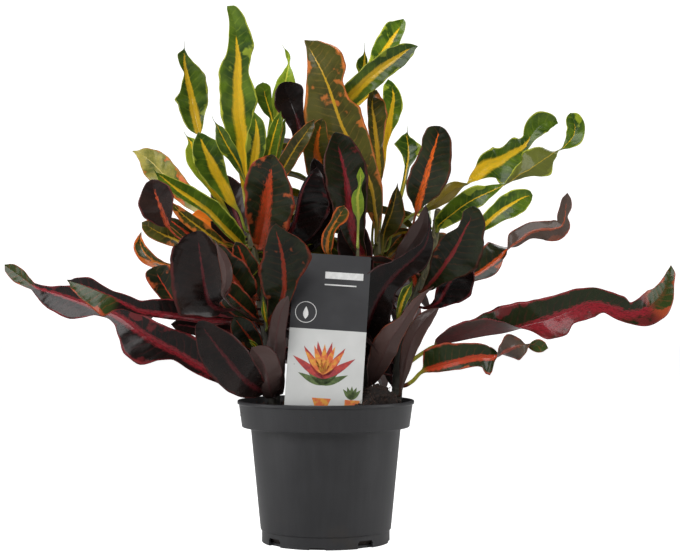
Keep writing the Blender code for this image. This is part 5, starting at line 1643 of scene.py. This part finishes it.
def crumb_tree(finish):
    group, tree, named = geometry_tree("peat_crumbs", CRUMBS)
    ball = tree.add("GeometryNodeMeshIcoSphere", inputs={"Radius": 1.0, "Subdivisions": 2})
    size = random_number(tree, named["Smallest"], named["Largest"], named["Seed"])
    spread = scatter(tree, named, ball, named["Density"], named["Seed"], size)
    real = tree.add("GeometryNodeRealizeInstances", inputs={"Geometry": spread})
    shake = tree.add("ShaderNodeTexNoise", {"noise_dimensions": "3D"}, {"Scale": SHAKE_SCALE}, "Color")
    shake = tree.add("ShaderNodeVectorMath", {"operation": "SUBTRACT"}, {0: shake, 1: (0.5, 0.5, 0.5)})
    shake = tree.add("ShaderNodeVectorMath", {"operation": "SCALE"}, {0: shake, "Scale": SHAKE})
    rough = tree.add("GeometryNodeSetPosition", inputs={"Geometry": real, "Offset": shake})
    close_tree(tree, rough, finish)
    return group


def fibre_tree(finish):
    group, tree, named = geometry_tree("peat_fibres", FIBRES)
    ends = {"Start": (-0.5, 0, 0), "Middle": (0.05, 0.22, 0.1), "End": (0.5, 0, 0.05), "Resolution": 6}
    bow = tree.add("GeometryNodeCurveQuadraticBezier", inputs=ends)
    ring = tree.add("GeometryNodeCurvePrimitiveCircle", inputs={"Resolution": 4, "Radius": 0.02})
    strand = tree.add("GeometryNodeCurveToMesh", inputs={
        "Curve": bow, "Profile Curve": ring, "Fill Caps": True})
    size = random_number(tree, named["Length"] * SHORTEST_FIBRE, named["Length"], named["Seed"])
    spread = scatter(tree, named, strand, named["Density"], named["Seed"], size)
    close_tree(tree, spread, finish)
    return group


def add_soil():
    peat = peat_finish("peat", "#120c09", "#2c1d16")
    crumb = peat_finish("peat_crumb", "#17100c", "#3a2820")
    fibre = peat_finish("peat_fibre", "#321d14", "#6e4a38")
    mesh = soil_mesh()
    crumbs = run_tree("crumbs", mesh.copy(), crumb_tree(crumb), CRUMBS)
    fibres = run_tree("fibres", mesh.copy(), fibre_tree(fibre), FIBRES)
    add_piece("peat_bed", mesh, peat, ("soil",))
    add_piece("peat_crumbs", crumbs, None)
    add_piece("peat_fibres", fibres, None)
    print("crumb faces:", len(crumbs.polygons), "fibre faces:", len(fibres.polygons))


add_soil()

# %% [markdown]
# ## Stems
# Old leaves leave pale scars up a croton's stem, each turned about 137 degrees from the last. The bark is a
# round rod lofted along the stem's route. A tree takes the same route as a curve, reads the stem's girth
# from it, and sets the scars around it by that rule.

# %% Stems with leaf scars
SCARS = {"Spacing": 0.0085, "Turn": math.radians(137.5), "Scar": 0.0017}
SCAR_SHAPE = (0.55, 1.5, 0.75)
SCAR_SUNK = 0.9
SCARRED_RADIUS = 5.5
STEM_STEP = 4.0
STEM_BURIED = 14
# Heights in metres over which the painted shade on the lower bark fades out
BARK_SHADE_TOP = (0.19, 0.3)
CAP_ANGLES = (25, 50, 72, 86)


def bark_finish(name, dark, light):
    paint = Paint(name)
    where = paint.place()
    upright = paint.add("ShaderNodeMapping", inputs={"Vector": where, "Scale": (4.0, 4.0, 0.7)})
    streak = paint.noise(upright, 120.0, 3.0)
    grain = paint.noise(where, 500.0, 3.0, 0.65)
    colour = paint.blend(hue(dark), hue(light), paint.rise(streak * 0.7 + grain * 0.3, 0.35, 0.65))
    # Painted shade: the bark and its scars turn near black towards the bottom, where the leaves above shade
    # the lower stems.
    low_bark_shade = 1.0 - paint.rise(paint.split(where, "Z"), *BARK_SHADE_TOP)
    colour = paint.blend(colour, hue("#0e0c0a"), low_bark_shade * 0.9)
    paint.feed("Base Color", colour)
    paint.feed("Roughness", 0.5 + grain * 0.3)
    paint.bump(streak * 0.6 + grain * 0.4, 0.0008, 0.6)
    return paint.material


def stem_route(stem):
    """Points of a stem's centre, from a little above its foot in the soil, and its radius at each."""
    low, top = stem.route[0][2] + STEM_BURIED, stem.route[-1][2]
    heights = np.linspace(low, top, int((top - low) / STEM_STEP))
    centres = np.array([stem_centre(stem, height) for height in heights])
    return centres, np.array([stem_radius(stem, height) for height in heights])


def scar_tree(finish):
    group, tree, named = geometry_tree("leaf_scars", SCARS)
    girth = tree.add("GeometryNodeInputNamedAttribute", {"data_type": "FLOAT"}, {"Name": "girth"})
    curve = tree.add("GeometryNodeMeshToCurve", inputs={"Mesh": named["Geometry"]})
    spots = tree.add("GeometryNodeResampleCurve", {"mode": "LENGTH"}, {
        "Curve": curve, "Length": named["Spacing"]})
    tangent = tree.add("GeometryNodeInputTangent")
    index = tree.add("GeometryNodeInputIndex")
    angle = index * named["Turn"]
    upright = tree.add("FunctionNodeAlignRotationToVector", {"axis": "Z"}, {"Vector": tangent})
    spin = tree.add("FunctionNodeAxisAngleToRotation", inputs={"Axis": (0, 0, 1), "Angle": angle})
    turned_spot = tree.add("FunctionNodeRotateRotation", {"rotation_space": "LOCAL"}, {
        "Rotation": upright, "Rotate By": spin})
    out = tree.add("FunctionNodeRotateVector", inputs={
        "Vector": tree.add("ShaderNodeCombineXYZ", inputs={0: girth * SCAR_SUNK}), "Rotation": turned_spot})
    ball = tree.add("GeometryNodeMeshUVSphere", inputs={"Segments": 10, "Rings": 6, "Radius": 1.0})
    scar = tree.add("GeometryNodeTransform", inputs={"Geometry": ball, "Scale": SCAR_SHAPE})
    moved = tree.add("GeometryNodeSetPosition", inputs={"Geometry": spots, "Offset": out})
    scars = tree.add("GeometryNodeInstanceOnPoints", inputs={
        "Points": moved, "Instance": scar, "Rotation": turned_spot, "Scale": named["Scar"]})
    close_tree(tree, scars, finish)
    return group


def tube(centres, radii, around=20):
    """A round rod along a route, with a rounded top."""
    ahead = unit(np.gradient(centres, axis=0))
    side = unit(np.cross(ahead, (0.0, -1.0, 0.0)))
    normal = np.cross(side, ahead)
    angles = np.linspace(0, math.tau, around, endpoint=False)
    circle = side[:, None] * np.cos(angles)[None, :, None] + normal[:, None] * np.sin(angles)[None, :, None]
    rings = centres[:, None] + circle * radii[:, None, None]
    cap = [centres[-1] + ahead[-1] * radii[-1] * math.sin(t) + circle[-1] * radii[-1] * math.cos(t)
           for t in np.radians(CAP_ANGLES)]
    return np.concatenate([rings, np.array(cap)])


def add_stems():
    bark = bark_finish("bark", "#3b3a24", "#6c6640")
    scar_finish = bark_finish("leaf_scar", "#5c5236", "#8f8258")
    tree = scar_tree(scar_finish)
    for name, stem in STEMS.items():
        centres, radii = stem_route(stem)
        points, faces = loft(tube(centres, radii))
        add_piece(f"{name}_bark", make_mesh(name, points, faces), bark, (name,))
        guide = bpy.data.meshes.new("route")
        guide.from_pydata((centres * MM).tolist(), [(k, k + 1) for k in range(len(centres) - 1)], [])
        girth = guide.attributes.new("girth", "FLOAT", "POINT")
        girth.data.foreach_set("value", (radii * MM).astype(np.float32))
        sizes = dict(SCARS, Scar=SCARS["Scar"] * stem.low_radius / SCARRED_RADIUS)
        scars = run_tree("scars", guide, tree, sizes)
        add_piece(f"{name}_scars", scars, None)
        print(name, "scar faces:", len(scars.polygons))


add_stems()

# %% [markdown]
# ## The label
# A printed plastic card on its own stake. Ink has no relief to speak of, but thin inlays keep its edges crisp
# at any distance, so each printed shape is a plate a few hundredths of a millimetre proud of the card.

# %% Card and stake
LABEL_WIDTH = 72.5
LABEL_TOP = 166.0
LABEL_NECK = 14.0
LABEL_THICKNESS = 0.8
LABEL_CORNER = 1.5
STAKE_WIDTH = 30.0
LABEL_FOOT = (-3.6, -72.4, 114.0)
LABEL_LEAN = 3.8
LABEL_TILT = 5.7
STAKE_TAPER = 6
CORNER_STEPS = 8
PANEL_EDGE = 94.5
PANEL_BLUR = 0.15
INK = 0.05
INK_SUNK = 0.02
INK_STEP = 0.004
LABEL_PLACE = (Matrix.Translation(Vector(LABEL_FOOT)) @ Matrix.Rotation(math.radians(LABEL_LEAN), 4, "Y")
               @ Matrix.Rotation(math.radians(90 - LABEL_TILT), 4, "X"))


def plate(outline, low, high):
    """A flat closed plate from an outline that runs anticlockwise, in the card's own plane."""
    count = len(outline)
    points = [(x, y, high) for x, y in outline] + [(x, y, low) for x, y in outline]
    sides = [(k, k + count, (k + 1) % count + count, (k + 1) % count) for k in range(count)]
    return points, [tuple(range(count)), tuple(range(2 * count - 1, count - 1, -1)), *sides]


def merged(plates):
    points, faces = [], []
    for plate_points, plate_faces in plates:
        faces += [tuple(index + len(points) for index in face) for face in plate_faces]
        points += plate_points
    return points, faces


def label_piece(name, plates, finish, replaced=()):
    points, faces = merged(plates)
    real = [tuple(LABEL_PLACE @ Vector(point)) for point in points]
    mesh = make_mesh(name, real, faces, smooth_faces=False)
    heights = np.array([point[1] for point in points], np.float32) * MM
    mesh.attributes.new("card_height", "FLOAT", "POINT").data.foreach_set("value", heights)
    add_piece(name, mesh, finish, replaced)


def card_outline():
    wide, narrow = LABEL_WIDTH / 2, STAKE_WIDTH / 2
    right = [(0, 0), (narrow, STAKE_TAPER), (narrow, LABEL_NECK - STAKE_TAPER), (wide, LABEL_NECK)]
    for index in range(CORNER_STEPS + 1):
        angle = math.radians(90 * index / CORNER_STEPS)
        right.append((wide - LABEL_CORNER + LABEL_CORNER * math.cos(angle),
                      LABEL_TOP - LABEL_CORNER + LABEL_CORNER * math.sin(angle)))
    return right + [(-x, y) for x, y in reversed(right[1:])]


def card_finish():
    paint = Paint("label_card", Specular_IOR_Level=0.4)
    where = paint.place()
    height = paint.attribute("card_height")
    haze = paint.noise(where, 22.0, 3.0)
    fine = paint.noise(where, 300.0, 2.0)
    upper = paint.blend(hue("#2f2f31"), hue("#39393b"), paint.rise(haze, 0.4, 0.7))
    lower = paint.blend(hue("#c6c7c5"), hue("#d2d2d0"), paint.rise(haze, 0.4, 0.7))
    field = paint.rise(height, (PANEL_EDGE - PANEL_BLUR) * MM, (PANEL_EDGE + PANEL_BLUR) * MM)
    paint.feed("Base Color", paint.blend(lower, upper, field))
    paint.feed("Roughness", 0.34 + fine * 0.12)
    paint.bump(fine, 0.00004, 0.3)
    return paint.material


def ink_finish(name, colour, other):
    paint = Paint(name)
    fine = paint.noise(paint.place(), 260.0, 2.0)
    paint.feed("Base Color", paint.blend(hue(colour), hue(other), paint.rise(fine, 0.35, 0.65)))
    paint.feed("Roughness", 0.36 + fine * 0.1)
    return paint.material


print("points of the card's outline:", len(card_outline()))

# %% Printed shapes
PETAL_POINTS = 9
PETAL_FULLNESS = 0.8
RING_BARS = 40


def bar(x, y, width, height):
    return [(x, y), (x + width, y), (x + width, y + height), (x, y + height)]


def petal(x, y, angle, length, width):
    """A pointed leaf shape from its foot."""
    turn = math.radians(angle)
    right = [(u * length, -width * math.sin(math.pi * u ** PETAL_FULLNESS) / 2)
             for u in np.linspace(0, 1, PETAL_POINTS)]
    left = [(u, -v) for u, v in reversed(right[1:-1])]
    return [(x + u * math.cos(turn) - v * math.sin(turn), y + u * math.sin(turn) + v * math.cos(turn))
            for u, v in right + left]


def ring_bars(x, y, radius, width):
    """A plain ring as a chain of short bars."""
    chain = []
    for index in range(RING_BARS):
        first, second = math.tau * index / RING_BARS, math.tau * (index + 1) / RING_BARS
        chain.append([(x + r * math.cos(a), y + r * math.sin(a)) for r, a in (
            (radius, first), (radius + width, first), (radius + width, second), (radius, second))])
    return chain


def fan(x, y, count, low, high, length, width):
    return [petal(x, y, low + (high - low) * k / (count - 1), length, width) for k in range(count)]


# Two close colours of each ink, and its shapes in millimetres from the middle of the stake's foot
PRINTS = {
    "ink_white": ("#dcdcda", "#d0d0ce", [bar(-6, 143, 36, 6.5), bar(-6, 136.6, 30, 1.2)]
                  + ring_bars(-22, 110, 9.5, 0.6) + [petal(-22, 103.5, 90, 12, 5)]),
    "ink_green": ("#5e7040", "#43552f", fan(-2, 42, 7, 25, 155, 26, 6) + fan(26, 30, 5, 50, 130, 13, 4)),
    "ink_red": ("#b8433a", "#94333a", fan(-2, 48, 6, 35, 145, 36, 7)),
    "ink_orange": ("#d0653a", "#d99a3c", fan(-2, 52, 5, 50, 130, 29, 6) + [
        [(-11, 30), (-7, 20), (3, 20), (7, 30)]] + [bar(20, 20, 14, 10)]),
    "ink_grey": ("#8c8f8a", "#7c7f7a", [bar(-34, 18.6, 68, 0.5), bar(-30, 60, 0.8, 0.8)]),
    "ink_teal": ("#3c5f52", "#46665a", [bar(-35.5, 14.6, 34, 1.8)]),
}


def add_label():
    half = LABEL_THICKNESS / 2
    label_piece("label_blank", [plate(card_outline(), -half, half)], card_finish(), ("label",))
    for layer, (name, (colour, other, shapes)) in enumerate(PRINTS.items(), 1):
        plates = [plate(shape, half - INK_SUNK, half + INK + INK_STEP * layer) for shape in shapes]
        label_piece(f"label_{name}", plates, ink_finish(name, colour, other))
    print("printed shapes:", sum(len(shapes) for _, _, shapes in PRINTS.values()))


add_label()
